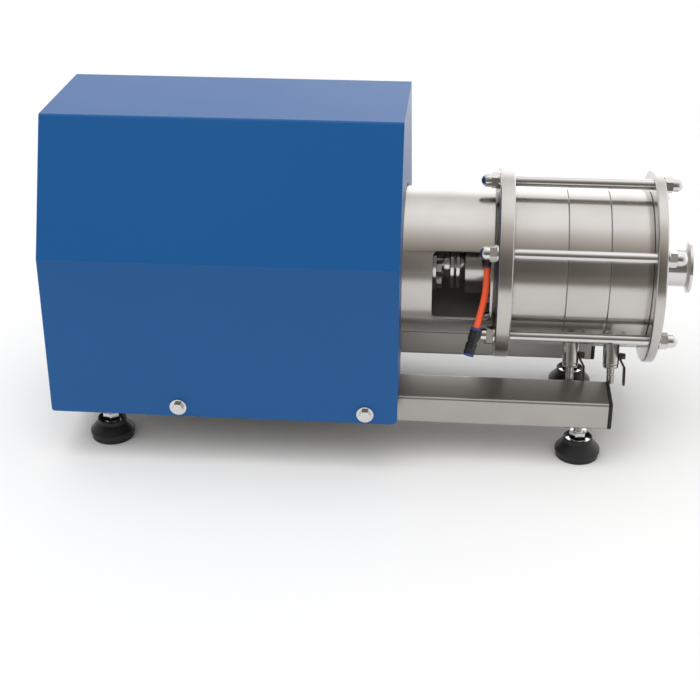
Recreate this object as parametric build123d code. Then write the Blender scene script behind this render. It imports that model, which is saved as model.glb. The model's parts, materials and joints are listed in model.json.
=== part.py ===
from build123d import *
import math
import os

os.makedirs("parts", exist_ok=True)

# An inline high shear mixer: a foot mounted motor under a folded sheet cover drives three stages of
# toothed rotors in a chamber of stacked rings. Sizes are millimetres. X runs along the shaft towards
# the inlet, -Y is the front, Z is up and the floor is Z = 0.

# Heights and stations along the shaft
rail_lift = 46.0
rail_height = 25.0
pad_thickness = 3.0
motor_centre_height = 100.0
seal_plate_x = 119.5
shaft_z = rail_lift + rail_height + pad_thickness + motor_centre_height
rail_top = rail_lift + rail_height

# Clearances between pieces that fit together
thread_clearance = 0.05
seat_clearance = 0.05
running_clearance = 0.05
slide_clearance = 0.04
bolt_clearance = 0.5
tooth_clearance = 0.5

# Pump flanges and chamber rings
flange_radius = 94.5
seal_plate_thickness = 14.5
seal_plate_shaft_gap = 1.5
end_plate_thickness = 10.0
flange_chamfer = 1.0
ring_radius = 73.5
ring_wall = 11.5
ring_bore_radius = ring_radius - ring_wall
ring_chamfer = 0.6
outlet_ring_length = 51.5
stage_length = 40.0
gasket_inset = 5.0
gasket_radius = ring_radius - gasket_inset
gasket_width = 2.6
gasket_depth = 2.2

# Rotor and stator stages
stator_plate_thickness = 5.0
stator_seat_depth = 3.0
stator_hole_radius = 23.0
rotor_disc_thickness = 5.0
hub_radius = 15.0
tooth_length = 9.0
tooth_root = 1.0
tip_gap = 1.0
inner_tooth_radius = 28.0
tooth_thickness = 5.5
rotor_slot_width = 5.0
stator_slot_width = 4.5
rotor_slot_counts = (12, 18)
stator_slot_counts = (15, 20)
stator_slot_phase = 6.0
rotor_hub_gap = 1.5

# Pump shaft, coupling and seal
lantern_length = 122.0
coupling_gap = 58.5
coupling_flange_radius = 31.0
coupling_flange_thickness = 7.5
coupling_hub_flange_thickness = 10.0
coupling_hub_radius = 22.0
coupling_hub_length = 40.0
coupling_bolt_circle = 23.0
coupling_bolt_count = 4
coupling_bolt_phase = -90.0
shaft_neck_radius = 14.0
shaft_collar_radius = 18.0
shaft_collar_length = 6.2
shaft_collar_gap = 45.3
pump_shaft_radius = 12.0
rotor_seat_radius = 10.0
shaft_thread_radius = 7.0
shaft_thread_length = 5.5
nut_bore_gap = 1.0
nut_crown = 3.0
nut_crown_slope = 4.0
nut_flats_ratio = 1.85
slinger_radius = 28.3
slinger_thickness = 4.4
slinger_gap = 1.3
slinger_edge = 0.5
slinger_hub = 4.0
seal_housing_radius = 33.0
seal_housing_length = 31.4
seal_housing_flange_radius = 47.5
seal_housing_flange_thickness = 4.2
seal_housing_bore = 22.0
seal_housing_lip_radius = 14.0
seal_housing_lip_thickness = 5.0
seal_housing_edge = 1.0
seal_seat_radius = 20.0
seal_seat_bore = 13.0
seal_seat_thickness = 8.0
seal_head_radius = 18.0
seal_head_length = 20.0
seal_film = 0.1
seal_head_edge = 1.0
seal_head_waist = 3.0
seal_head_slope = 2.0

# Tie rods that clamp the chamber between the two flanges
rod_radius = 5.0
rod_circle = 86.0
rod_count = 6
rod_phase = 27.5
rod_hole_clearance = 0.3
rod_washer_radius = 8.0
rod_washer_thickness = 1.6
acorn_flats = 14.0
acorn_hex_height = 6.5
acorn_dome_radius = 6.5
acorn_height = 16.5
rod_end_engagement = 11.5
acorn_hex_edge = 0.3
acorn_hex_corner = 1.2
acorn_bore_gap = 0.5

# Clamp ferrules of the inlet and the outlet
tube_radius = 19.0
tube_wall = 1.5
ferrule_radius = 25.25
ferrule_rim = 3.2
ferrule_slope = 3.6
ferrule_groove_radius = 21.8
ferrule_groove_width = 1.6
inlet_length = 33.5
outlet_reach = 118.0
outlet_from_seal_plate = 24.0
port_seat_depth = 8.0
weld_leg = 3.0
outlet_weld_start = 0.4

# Lantern between the motor and the pump
lantern_radius = 72.5
lantern_wall = 5.0
lantern_flange_radius = 100.0
lantern_flange_thickness = 10.0
lantern_end_chamfer = 3.5
lantern_end_thickness = 4.2
lantern_end_bore = 50.0
window_from_seal_plate = 6.0
window_length = 55.4
window_top = 35.0
window_bottom = -36.2
window_corner = 5.0
lantern_screw_circle = 82.5
lantern_end_screw_circle = 58.5
seal_screw_circle = 40.5

# Socket head screws of one size hold the lantern and the seal housing
screw_radius = 4.0
screw_head_radius = 6.5
screw_head_height = 8.0
screw_engagement = 10.0
screw_end_gap = 1.0
screw_count = 4
screw_phase = 45.0
socket_flats = 6.0
socket_depth = 4.0

# Drain valves below the chamber
valve_angle = -68.0
valve_from_joint = 11.0
valve_body_radius = 8.0
valve_body_end = 98.5
valve_flat_depth = 0.7
valve_spigot_radius = 5.0
valve_collar_radius = 7.7
valve_collar_end = 102.5
valve_collar_edge = 1.2
valve_shoulder = 0.4
valve_stub_radius = 3.75
valve_stub_end = 118.0
valve_bore_radius = 2.5
valve_ball_radius = 5.7
valve_ball_clearance = 0.3
valve_ball_centre = 90.0
valve_stem_radius = 2.2
valve_knob_radius = 3.0
valve_knob_end = 14.0
valve_stem_end_gap = 0.5
lever_thickness = 2.1
lever_width = 8.0
lever_side_gap = 0.4
lever_offset = 4.0
lever_bend_start = 94.0
lever_bend_end = 101.0
lever_end = 119.5
lever_top = 86.5

# Flush elbow, its tube and the tube union
flush_from_seal_plate = 9.6
flush_angle = 22.5
flush_reach = 61.5
flush_spigot_radius = 3.6
flush_spigot_depth = 5.0
flush_hex_flats = 9.6
flush_hex_length = 5.0
flush_hex_turn = 30.0
flush_neck_radius = 4.2
flush_neck_length = 14.0
flush_body_radius = 5.2
flush_drop = 4.0
flush_collet_radius = 4.9
flush_collet_length = 2.2
flush_tube_radius = 3.3
flush_bore_radius = 2.2
union_radius = 5.4
union_waist_radius = 4.6
union_body_length = 10.3
union_waist_length = 3.0
union_collet_radius = 5.1
union_collet_length = 2.2
union_edge = 0.4
union_edge_length = 0.6

# Points of the flush tube after its straight exit from the elbow, down to the top of the union,
# measured from the shaft axis at the seal plate
flush_exit_run = 20.0
flush_route = [
    (-13.4, -73.6, -20.5),
    (-17.7, -79.4, -36.3),
]

# Base rails
rail_width = 50.0
rail_outer_y = 100.0
rail_wall = 2.0
rail_corner = 3.0
rail_right_x = 225.2
rail_left_x = -285.5
cap_thickness = 4.0
cap_edge = 1.2
cap_plug_depth = 10.0
cap_plug_wall = 2.0
cap_plug_clearance = 0.2
cross_positions = (-0.5, -240.0)

# Levelling feet
foot_xs = (206.4, -262.8)
foot_base_radius = 22.2
foot_sole_radius = 21.0
foot_sole_height = 5.0
foot_rim_height = 9.0
foot_shoulder_height = 17.0
foot_lip_radius = 14.25
foot_lip_height = 21.5
foot_lip_wall = 1.4
foot_plate_thickness = 1.8
foot_plate_edge = 0.6
foot_plate_crown = 2.0
foot_socket_depth = 9.0
spindle_radius = 5.0
spindle_top = 60.0
spindle_chamfer = 1.0
spindle_hex_flats = 16.0
spindle_hex_bottom = 19.7
spindle_hex_height = 8.5
bush_radius = 8.0
bush_height = 14.0

# Motor
foot_to_flange = 63.0
foot_half_width = 80.0
motor_foot_length = 38.0
motor_foot_thickness = 12.0
motor_foot_inner = 58.0
motor_foot_outer = 100.0
motor_foot_web = 12.0
motor_flange_radius = 100.0
motor_flange_thickness = 12.0
end_shield_depth = 28.0
end_shield_radius = 94.0
end_shield_wall = 8.0
end_shield_shaft_gap = 4.0
frame_length = 200.0
foot_from_frame_end = 30.0
foot_spacing = frame_length - 2 * foot_from_frame_end
frame_radius = 90.0
frame_bore_radius = 82.0
fin_tip_radius = 99.0
fin_thickness = 3.0
fin_count = 30
fin_phase = 6.0
fin_margin = 6.0
rear_shield_depth = 18.0
stator_core_length = 130.0
stator_core_bore = 52.0
winding_length = 22.0
winding_inner = 57.0
winding_outer = 77.0
air_gap = 0.7
motor_shaft_radius = 14.0
shaft_end_from_seal_plate = 62.0
motor_shaft_length = lantern_length - shaft_end_from_seal_plate
shaft_end_chamfer = 1.0
shaft_body_radius = 20.0
bearing_bore = 15.0
bearing_radius = 31.0
bearing_width = 16.0
bearing_groove = 1.0
bearing_race = 4.0
fan_seat_radius = 11.0
fan_hub_radius = 18.0
fan_radius = 80.0
fan_width = 22.0
fan_disc_thickness = 3.0
fan_blade_count = 7
fan_blade_thickness = 2.5
fan_blade_root = 2.0
fan_gap = 6.0
cowl_radius = 97.0
cowl_wall = 1.5
cowl_length = 62.0
cowl_overlap = 14.0
cowl_boss_length = 12.0
cowl_boss_width = 16.0
cowl_slot_width = 4.0
cowl_slot_count = 12
cowl_slot_inner = 18.0
cowl_slot_outer = 78.0
cowl_end_chamfer = 8.0
terminal_length = 104.0
terminal_width = 96.0
terminal_base_height = 94.0
terminal_top = 142.0
terminal_corner = 8.0
terminal_lid_thickness = 5.0
terminal_lid_step = 1.5
terminal_from_shield = 12.0

# Hexagon bolts
foot_bolt_radius = 5.0
foot_bolt_flats = 16.0
foot_bolt_head = 6.4
foot_bolt_depth = 12.0
foot_nut_radius = 9.0
foot_nut_height = 8.0
coupling_bolt_radius = 4.0
coupling_bolt_flats = 13.0
coupling_bolt_head = 5.3
cover_bolt_radius = 3.0
cover_bolt_flats = 10.0
cover_bolt_head = 4.0
cover_bolt_depth = 12.0
cover_washer_radius = 8.3
cover_washer_thickness = 1.6
boss_radius = 8.0

# Folded sheet cover over the motor
cover_left_x = -309.0
cover_right_x = 29.4
cover_half_width = 121.1
cover_top_half_width = 69.2
cover_bottom = 51.3
cover_kink = 211.8
cover_top = 335.4
cover_sheet = 1.5
cover_bend = 3.0
cover_bolt_xs = (-1.6, -183.2)
cover_bolt_z = 61.5
cover_hole_clearance = 2.5
cover_rail_clearance = 3.0
cover_boss_bore_gap = 2.0
louvre_count = 9
louvre_length = 62.0
louvre_height = 5.0
louvre_pitch = 13.0
louvre_first_z = 110.0
louvre_column_y = 42.0

# Stations that follow from the sizes above
outlet_ring_x = seal_plate_x + seal_plate_thickness
middle_ring_x = outlet_ring_x + outlet_ring_length
inlet_ring_x = middle_ring_x + stage_length
end_plate_x = inlet_ring_x + stage_length
end_plate_face = end_plate_x + end_plate_thickness
stage_ends = (middle_ring_x, inlet_ring_x, end_plate_x)
motor_face_x = seal_plate_x - lantern_length
shield_back_x = motor_face_x - end_shield_depth
frame_back_x = shield_back_x - frame_length
rear_face_x = frame_back_x - rear_shield_depth
coupling_x = seal_plate_x - coupling_gap
motor_foot_xs = (motor_face_x - foot_to_flange, motor_face_x - foot_to_flange - foot_spacing)
rail_centre_y = rail_outer_y - rail_width / 2
rail_inner_y = rail_outer_y - rail_width
motor_foot_top = rail_top + pad_thickness + motor_foot_thickness
hub_length = stage_length
stator_face_from_end = stator_plate_thickness
rotor_disc_from_end = stator_plate_thickness + tip_gap + tooth_length
rotor_outer_radius = inner_tooth_radius + 3 * tooth_thickness + 2 * tooth_clearance
stator_inner_radius = inner_tooth_radius + tooth_thickness + tooth_clearance
stator_outer_radius = rotor_outer_radius + tooth_clearance

shaft_axis = Axis((0, 0, shaft_z), (1, 0, 0))
shaft_plane = Plane(origin=(0, 0, shaft_z), x_dir=(1, 0, 0), z_dir=(0, -1, 0))


def square_to_shaft(x, y=0.0, z=shaft_z):
    """Plane square to the shaft, with local X to the rear, local Y up and its normal along +X."""
    return Plane(origin=(x, y, z), x_dir=(0, 1, 0), z_dir=(1, 0, 0))


def turned(points):
    """Solid turned about the shaft from points given as (x, radius)."""
    return revolve(shaft_plane * make_face(Polyline(*points, close=True)), shaft_axis)


def round_bar(x_start, x_end, radius, y=0.0, z=shaft_z):
    """Round bar along X."""
    return extrude(square_to_shaft(x_start, y, z) * Circle(radius), x_end - x_start)


def hexagon(flats, rotation=0.0):
    """Regular hexagon with the given distance across its flats."""
    return RegularPolygon(flats / 2, 6, major_radius=False, rotation=rotation)


def around(radius, angle):
    """Y and Z offsets from the shaft axis; angle 0 is the front and 90 is up."""
    turn = math.radians(angle)
    return -radius * math.cos(turn), radius * math.sin(turn)


def ring_angles(count, phase=0.0):
    """Angles of equally spaced copies round the shaft."""
    return [phase + step * 360.0 / count for step in range(count)]


def save(name, solids):
    """Write one node, as a single solid or as a group of separate solids."""
    shape = solids[0] if len(solids) == 1 else Compound(children=list(solids))
    export_step(shape, f"parts/{name}.step")


# Base: rails, crossmembers, end caps and levelling feet

def rail_section(shrink=0.0):
    """Outline of the rectangular tube, shrunk evenly by the given wall."""
    corner = max(rail_corner - shrink, 0.5)
    return RectangleRounded(rail_width - 2 * shrink, rail_height - 2 * shrink, corner)


def rail(side):
    """Rectangular tube with its welded motor pads, cover bosses and foot bushes; side is -1 in front."""
    centre_y = side * rail_centre_y
    centre_z = rail_lift + rail_height / 2
    start = square_to_shaft(rail_left_x, centre_y, centre_z)
    length = rail_right_x - rail_left_x
    body = extrude(start * rail_section(), length) - extrude(start * rail_section(rail_wall), length)
    pad_width = rail_outer_y - motor_foot_inner - rail_corner
    pad_y = side * (motor_foot_inner + pad_width / 2)
    for x in motor_foot_xs:
        pad_place = Pos(x, pad_y, rail_top)
        body += pad_place * Box(motor_foot_length, pad_width, pad_thickness, align=(
            Align.CENTER, Align.CENTER, Align.MIN))
        nut_place = Pos(x, side * foot_half_width, rail_top - rail_wall)
        body += nut_place * Cylinder(foot_nut_radius, foot_nut_height, align=(
            Align.CENTER, Align.CENTER, Align.MAX))
        body -= Pos(x, side * foot_half_width, rail_top) * Cylinder(
            foot_bolt_radius + thread_clearance, 2 * (foot_nut_height + pad_thickness))
    outer_y = side * rail_outer_y
    cover_inner_y = side * (cover_half_width - cover_sheet)
    for x in cover_bolt_xs:
        seat = Plane(origin=(x, cover_inner_y, cover_bolt_z), x_dir=(1, 0, 0), z_dir=(0, -side, 0))
        body += extrude(seat * Circle(boss_radius), abs(cover_inner_y - outer_y) + rail_wall / 2)
        body -= extrude(seat * Circle(cover_bolt_radius + thread_clearance),
                        cover_bolt_depth + cover_boss_bore_gap)
    for x in foot_xs:
        place = Pos(x, centre_y, rail_lift)
        body += place * Cylinder(bush_radius, bush_height, align=(Align.CENTER, Align.CENTER, Align.MIN))
        body -= place * Cylinder(spindle_radius + slide_clearance, 2 * bush_height + 2)
    return body


def crossmember(x):
    """Tube welded between the two rails."""
    place = Plane(origin=(x, -rail_inner_y, rail_lift + rail_height / 2), x_dir=(1, 0, 0), z_dir=(0, 1, 0))
    length = 2 * rail_inner_y
    return extrude(place * rail_section(), length) - extrude(place * rail_section(rail_wall), length)


def end_cap(x, side, outward):
    """Plastic plug in the end of a rail; outward is 1 at the inlet end and -1 at the motor end."""
    place = Plane(
        origin=(x, side * rail_centre_y, rail_lift + rail_height / 2),
        x_dir=(0, outward, 0),
        z_dir=(outward, 0, 0),
    )
    cap = extrude(place * rail_section(), cap_thickness)
    outer_face = cap.faces().sort_by(Axis.X)[-1 if outward > 0 else 0]
    cap = fillet(outer_face.edges(), cap_edge)
    plug_shrink = rail_wall + cap_plug_clearance
    plug = extrude(place * rail_section(plug_shrink), -cap_plug_depth)
    plug -= extrude(place * rail_section(plug_shrink + cap_plug_wall), -cap_plug_depth)
    return cap + plug


def foot_base(x, y):
    """Moulded base of a levelling foot, with a raised lip round the spindle plate."""
    lip_bore = foot_lip_radius - foot_lip_wall
    step = foot_base_radius - foot_sole_radius
    outline = Polyline(
        (0, 0),
        (foot_sole_radius - step / 2, 0),
        (foot_sole_radius, step / 2),
        (foot_sole_radius, foot_sole_height - step / 2),
        (foot_base_radius, foot_sole_height + step / 2),
        (foot_base_radius, foot_rim_height),
        (foot_base_radius - step, foot_rim_height + step),
        (foot_lip_radius, foot_shoulder_height),
        (foot_lip_radius, foot_lip_height),
        (lip_bore, foot_lip_height),
        (lip_bore, foot_shoulder_height),
        (spindle_radius + seat_clearance, foot_shoulder_height),
        (spindle_radius + seat_clearance, foot_socket_depth),
        (0, foot_socket_depth),
        close=True,
    )
    return Pos(x, y, 0) * revolve(Plane.XZ * make_face(outline), Axis.Z)


def foot_spindle(x, y):
    """Chromed plate, spanner hexagon and threaded stud of a levelling foot."""
    plate_radius = foot_lip_radius - foot_lip_wall - seat_clearance
    plate_top = foot_shoulder_height + foot_plate_thickness
    outline = Polyline(
        (0, foot_socket_depth),
        (spindle_radius, foot_socket_depth),
        (spindle_radius, foot_shoulder_height),
        (plate_radius, foot_shoulder_height),
        (plate_radius, plate_top - foot_plate_edge),
        (spindle_radius + foot_plate_crown, plate_top),
        (spindle_radius, spindle_hex_bottom),
        (spindle_radius, spindle_top - spindle_chamfer),
        (spindle_radius - spindle_chamfer, spindle_top),
        (0, spindle_top),
        close=True,
    )
    stem = revolve(Plane.XZ * make_face(outline), Axis.Z)
    hex_place = Pos(0, 0, spindle_hex_bottom)
    return Pos(x, y, 0) * (stem + extrude(hex_place * hexagon(spindle_hex_flats), spindle_hex_height))


# Motor

def drive_end_shield():
    """Face flange of the motor with the housing of its drive side bearing."""
    bearing_back = motor_face_x - end_shield_wall - bearing_width
    shield = turned([
        (motor_face_x, motor_shaft_radius + end_shield_shaft_gap),
        (motor_face_x, motor_flange_radius),
        (motor_face_x - motor_flange_thickness, motor_flange_radius),
        (motor_face_x - motor_flange_thickness, end_shield_radius),
        (shield_back_x, end_shield_radius),
        (shield_back_x, frame_bore_radius - seat_clearance),
        (motor_face_x - motor_flange_thickness, frame_bore_radius - seat_clearance - end_shield_wall),
        (motor_face_x - motor_flange_thickness, bearing_radius + end_shield_wall),
        (bearing_back, bearing_radius + end_shield_wall),
        (bearing_back, bearing_radius),
        (motor_face_x - end_shield_wall, bearing_radius),
        (motor_face_x - end_shield_wall, motor_shaft_radius + end_shield_shaft_gap),
    ])
    for angle in ring_angles(screw_count, screw_phase):
        y, z = around(lantern_screw_circle, angle)
        shield -= round_bar(motor_face_x - screw_engagement - screw_end_gap, motor_face_x,
                            screw_radius + thread_clearance, y, shaft_z + z)
    return shield


def rear_end_shield():
    """Rear cover of the motor with the housing of its second bearing."""
    bearing_front = rear_face_x + bearing_width
    shield = turned([
        (frame_back_x, frame_bore_radius - seat_clearance),
        (frame_back_x, end_shield_radius - end_shield_wall / 2),
        (rear_face_x, end_shield_radius - end_shield_wall),
        (rear_face_x, bearing_radius),
        (bearing_front, bearing_radius),
        (bearing_front, bearing_radius + end_shield_wall),
        (rear_face_x + end_shield_wall, bearing_radius + end_shield_wall),
        (rear_face_x + end_shield_wall, frame_bore_radius - end_shield_wall),
    ])
    boss_end = cowl_radius - cowl_wall - seat_clearance
    rim = round_bar(frame_back_x - cowl_boss_length, frame_back_x, boss_end)
    rim -= round_bar(frame_back_x - cowl_boss_length, frame_back_x, frame_bore_radius)
    place = Pos(frame_back_x - cowl_boss_length / 2, 0, shaft_z)
    for angle in (45.0, -45.0):
        bar = Box(cowl_boss_length, 2 * cowl_radius, cowl_boss_width)
        shield += rim & (place * Rot(angle, 0, 0) * bar)
    return shield


def motor_frame():
    """Cast frame with cooling fins, four feet and a pedestal for the terminal box."""
    body = round_bar(frame_back_x, shield_back_x, frame_radius)
    fin_length = frame_length - 2 * fin_margin
    fin_height = fin_tip_radius - frame_radius + fin_margin
    fin_centre_x = (frame_back_x + shield_back_x) / 2
    for angle in ring_angles(fin_count, fin_phase):
        y, z = around(fin_tip_radius, angle)
        beside_box = z > 0 and abs(y) < terminal_width / 2 + fin_thickness
        over_feet = z < 0 and motor_foot_inner - fin_thickness < abs(y) < motor_foot_outer
        if not beside_box and not over_feet:
            body += Pos(fin_centre_x, 0, shaft_z) * Rot(-angle, 0, 0) * Pos(
                0, -(fin_tip_radius - fin_height / 2), 0) * Box(fin_length, fin_height, fin_thickness)
    for side in (-1, 1):
        for x in motor_foot_xs:
            outline = Polyline(
                (side * motor_foot_inner, rail_top + pad_thickness),
                (side * motor_foot_outer, rail_top + pad_thickness),
                (side * motor_foot_outer, motor_foot_top),
                (side * (motor_foot_inner + motor_foot_web), motor_foot_top),
                (side * (motor_foot_inner + motor_foot_web), shaft_z - frame_radius / 2),
                (side * motor_foot_inner, shaft_z - frame_radius / 2),
                close=True,
            )
            place = Plane(origin=(x - motor_foot_length / 2, 0, 0), x_dir=(0, 1, 0), z_dir=(1, 0, 0))
            body += extrude(place * make_face(outline), motor_foot_length)
            body -= Pos(x, side * foot_half_width, motor_foot_top) * Cylinder(
                foot_bolt_radius + bolt_clearance, 3 * motor_foot_thickness)
    box_x = shield_back_x - terminal_from_shield - terminal_length / 2
    body += Pos(box_x, 0, shaft_z) * Box(terminal_length, terminal_width, terminal_base_height, align=(
        Align.CENTER, Align.CENTER, Align.MIN))
    return body - round_bar(frame_back_x, shield_back_x, frame_bore_radius)


def motor_stator():
    """Laminated core pressed in the frame, with its winding heads."""
    middle = (frame_back_x + shield_back_x) / 2
    front = middle + stator_core_length / 2
    back = middle - stator_core_length / 2
    return turned([
        (back, stator_core_bore),
        (back, winding_inner),
        (back - winding_length, winding_inner),
        (back - winding_length, winding_outer),
        (back, winding_outer),
        (back, frame_bore_radius),
        (front, frame_bore_radius),
        (front, winding_outer),
        (front + winding_length, winding_outer),
        (front + winding_length, winding_inner),
        (front, winding_inner),
        (front, stator_core_bore),
    ])


def motor_bearing(x):
    """Shielded ball bearing with its left face at x."""
    groove_inner = bearing_bore + running_clearance + bearing_race
    groove_outer = bearing_radius - bearing_race
    end = x + bearing_width
    bore = bearing_bore + running_clearance
    return turned([
        (x, bore),
        (x, groove_inner),
        (x + bearing_groove, groove_inner),
        (x + bearing_groove, groove_outer),
        (x, groove_outer),
        (x, bearing_radius),
        (end, bearing_radius),
        (end, groove_outer),
        (end - bearing_groove, groove_outer),
        (end - bearing_groove, groove_inner),
        (end, groove_inner),
        (end, bore),
    ])


def motor_rotor():
    """Motor shaft with the cage rotor cast on it."""
    middle = (frame_back_x + shield_back_x) / 2
    front = middle + stator_core_length / 2
    back = middle - stator_core_length / 2
    drive_bearing_back = motor_face_x - end_shield_wall - bearing_width - seal_film
    rear_bearing_front = rear_face_x + bearing_width + seal_film
    fan_back = rear_face_x - fan_gap - fan_width
    return turned([
        (fan_back, 0),
        (fan_back, fan_seat_radius),
        (rear_face_x - fan_gap, fan_seat_radius),
        (rear_face_x - fan_gap, bearing_bore),
        (rear_bearing_front, bearing_bore),
        (rear_bearing_front, shaft_body_radius),
        (back, shaft_body_radius),
        (back, stator_core_bore - air_gap),
        (front, stator_core_bore - air_gap),
        (front, shaft_body_radius),
        (drive_bearing_back, shaft_body_radius),
        (drive_bearing_back, bearing_bore),
        (motor_face_x, bearing_bore),
        (motor_face_x, motor_shaft_radius),
        (motor_face_x + motor_shaft_length - shaft_end_chamfer, motor_shaft_radius),
        (motor_face_x + motor_shaft_length, motor_shaft_radius - shaft_end_chamfer),
        (motor_face_x + motor_shaft_length, 0),
    ])


def cooling_fan():
    """Radial fan on the rear end of the motor shaft."""
    front = rear_face_x - fan_gap
    back = front - fan_width
    bore = fan_seat_radius
    fan = turned([
        (back, bore),
        (back, fan_hub_radius),
        (front - fan_disc_thickness, fan_hub_radius),
        (front - fan_disc_thickness, fan_radius),
        (front, fan_radius),
        (front, bore),
    ])
    blade_height = fan_radius - fan_hub_radius + fan_blade_root
    for angle in ring_angles(fan_blade_count):
        place = Pos(back, 0, shaft_z) * Rot(-angle, 0, 0) * Pos(0, fan_blade_root - fan_hub_radius, 0)
        fan += place * Box(fan_width - fan_disc_thickness, blade_height, fan_blade_thickness,
                           align=(Align.MIN, Align.MAX, Align.CENTER))
    return fan


def fan_cowl():
    """Pressed sheet cowl over the fan, with radial air slots in its end."""
    front = frame_back_x - rear_shield_depth + cowl_overlap
    back = front - cowl_length
    inner_end = back + cowl_wall
    inner_radius = cowl_radius - cowl_wall
    cowl = turned([
        (front, inner_radius),
        (front, cowl_radius),
        (back + cowl_end_chamfer, cowl_radius),
        (back, cowl_radius - cowl_end_chamfer),
        (back, 0),
        (inner_end, 0),
        (inner_end, inner_radius - cowl_end_chamfer + cowl_wall / 2),
        (back + cowl_end_chamfer, inner_radius),
    ])
    slot_length = cowl_slot_outer - cowl_slot_inner
    for angle in ring_angles(cowl_slot_count):
        cowl -= Pos(back, 0, shaft_z) * Rot(-angle, 0, 0) * Pos(0, -cowl_slot_inner, 0) * Box(
            4 * cowl_wall, slot_length, cowl_slot_width, align=(Align.CENTER, Align.MAX, Align.CENTER))
    return cowl


def terminal_box():
    """Terminal box with its lid on the pedestal of the motor frame."""
    box_x = shield_back_x - terminal_from_shield - terminal_length / 2
    base = Pos(box_x, 0, shaft_z + terminal_base_height)
    height = terminal_top - terminal_base_height - terminal_lid_thickness
    outline = RectangleRounded(terminal_length, terminal_width, terminal_corner)
    lid_outline = RectangleRounded(
        terminal_length - 2 * terminal_lid_step, terminal_width - 2 * terminal_lid_step, terminal_corner)
    box = extrude(base * outline, height)
    lid = extrude(base * Pos(0, 0, height) * lid_outline, terminal_lid_thickness)
    return box + lid


def motor_foot_bolts():
    """Hexagon bolts through the motor feet into the rails."""
    bolts = []
    for side in (-1, 1):
        for x in motor_foot_xs:
            seat = Pos(x, side * foot_half_width, motor_foot_top)
            shank_length = motor_foot_thickness + pad_thickness + foot_bolt_depth
            shank_length = min(shank_length, motor_foot_top - rail_top + rail_wall + foot_nut_height)
            shank = seat * Cylinder(foot_bolt_radius, shank_length, align=(
                Align.CENTER, Align.CENTER, Align.MAX))
            bolts.append(shank + extrude(seat * hexagon(foot_bolt_flats), foot_bolt_head))
    return bolts


# Cover

def cover_outline(shrink=0.0):
    """Cross section of the cover, shrunk evenly by the sheet thickness."""
    run = cover_half_width - cover_top_half_width
    rise = cover_top - cover_kink
    slant = math.hypot(run, rise)
    top_z = cover_top - shrink
    kink_z = cover_kink - shrink * (slant - rise) / run
    top_y = cover_top_half_width - shrink * (slant - run) / rise
    side_y = cover_half_width - shrink
    corners = Polyline(
        (-side_y, cover_bottom),
        (-side_y, kink_z),
        (-top_y, top_z),
        (top_y, top_z),
        (side_y, kink_z),
        (side_y, cover_bottom),
        close=True,
    )
    face = make_face(corners)
    bends = face.vertices().filter_by(lambda corner: corner.Y > cover_bottom + 1)
    return fillet(bends, cover_bend - shrink if shrink else cover_bend)


def motor_cover():
    """Sheet cover: two sides, two slopes, a top and two end panels, open below."""
    start = Plane(origin=(cover_left_x, 0, 0), x_dir=(0, 1, 0), z_dir=(1, 0, 0))
    inside = Plane(origin=(cover_left_x + cover_sheet, 0, 0), x_dir=(0, 1, 0), z_dir=(1, 0, 0))
    length = cover_right_x - cover_left_x
    shell = extrude(start * cover_outline(), length)
    shell -= extrude(inside * cover_outline(cover_sheet), length - 2 * cover_sheet)
    shell -= round_bar(cover_right_x - 2 * cover_sheet, cover_right_x + cover_sheet,
                       lantern_radius + cover_hole_clearance)
    notch_width = 2 * (cover_half_width - cover_sheet)
    notch_height = rail_top + cover_rail_clearance - cover_bottom
    shell -= Pos(cover_right_x, 0, cover_bottom) * Box(
        4 * cover_sheet, notch_width, notch_height, align=(Align.CENTER, Align.CENTER, Align.MIN))
    for row in range(louvre_count):
        for side in (-1, 1):
            shell -= Pos(cover_left_x, side * louvre_column_y, louvre_first_z + row * louvre_pitch) * Box(
                4 * cover_sheet, louvre_length, louvre_height)
    for x in cover_bolt_xs:
        through = Plane(origin=(x, 0, cover_bolt_z), x_dir=(1, 0, 0), z_dir=(0, 1, 0))
        shell -= extrude(through * Circle(cover_bolt_radius + bolt_clearance),
                         cover_half_width + cover_sheet, both=True)
    return shell


def cover_bolts():
    """Hexagon bolts through the cover sides into the bosses of the rails."""
    bolts = []
    for side in (-1, 1):
        head_y = side * (cover_half_width + cover_washer_thickness)
        for x in cover_bolt_xs:
            seat = Plane(origin=(x, head_y, cover_bolt_z), x_dir=(1, 0, 0), z_dir=(0, side, 0))
            head = extrude(seat * hexagon(cover_bolt_flats), cover_bolt_head)
            shank_length = cover_washer_thickness + cover_sheet + cover_bolt_depth
            bolts.append(head + extrude(seat * Circle(cover_bolt_radius), -shank_length))
    return bolts


def cover_washers():
    """Plain washers below the heads of the cover bolts."""
    washers = []
    for side in (-1, 1):
        for x in cover_bolt_xs:
            seat = Plane(
                origin=(x, side * cover_half_width, cover_bolt_z), x_dir=(1, 0, 0), z_dir=(0, side, 0))
            ring = Circle(cover_washer_radius) - Circle(cover_bolt_radius + bolt_clearance / 2)
            washers.append(extrude(seat * ring, cover_washer_thickness))
    return washers


# Lantern, screws, coupling and shaft

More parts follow.
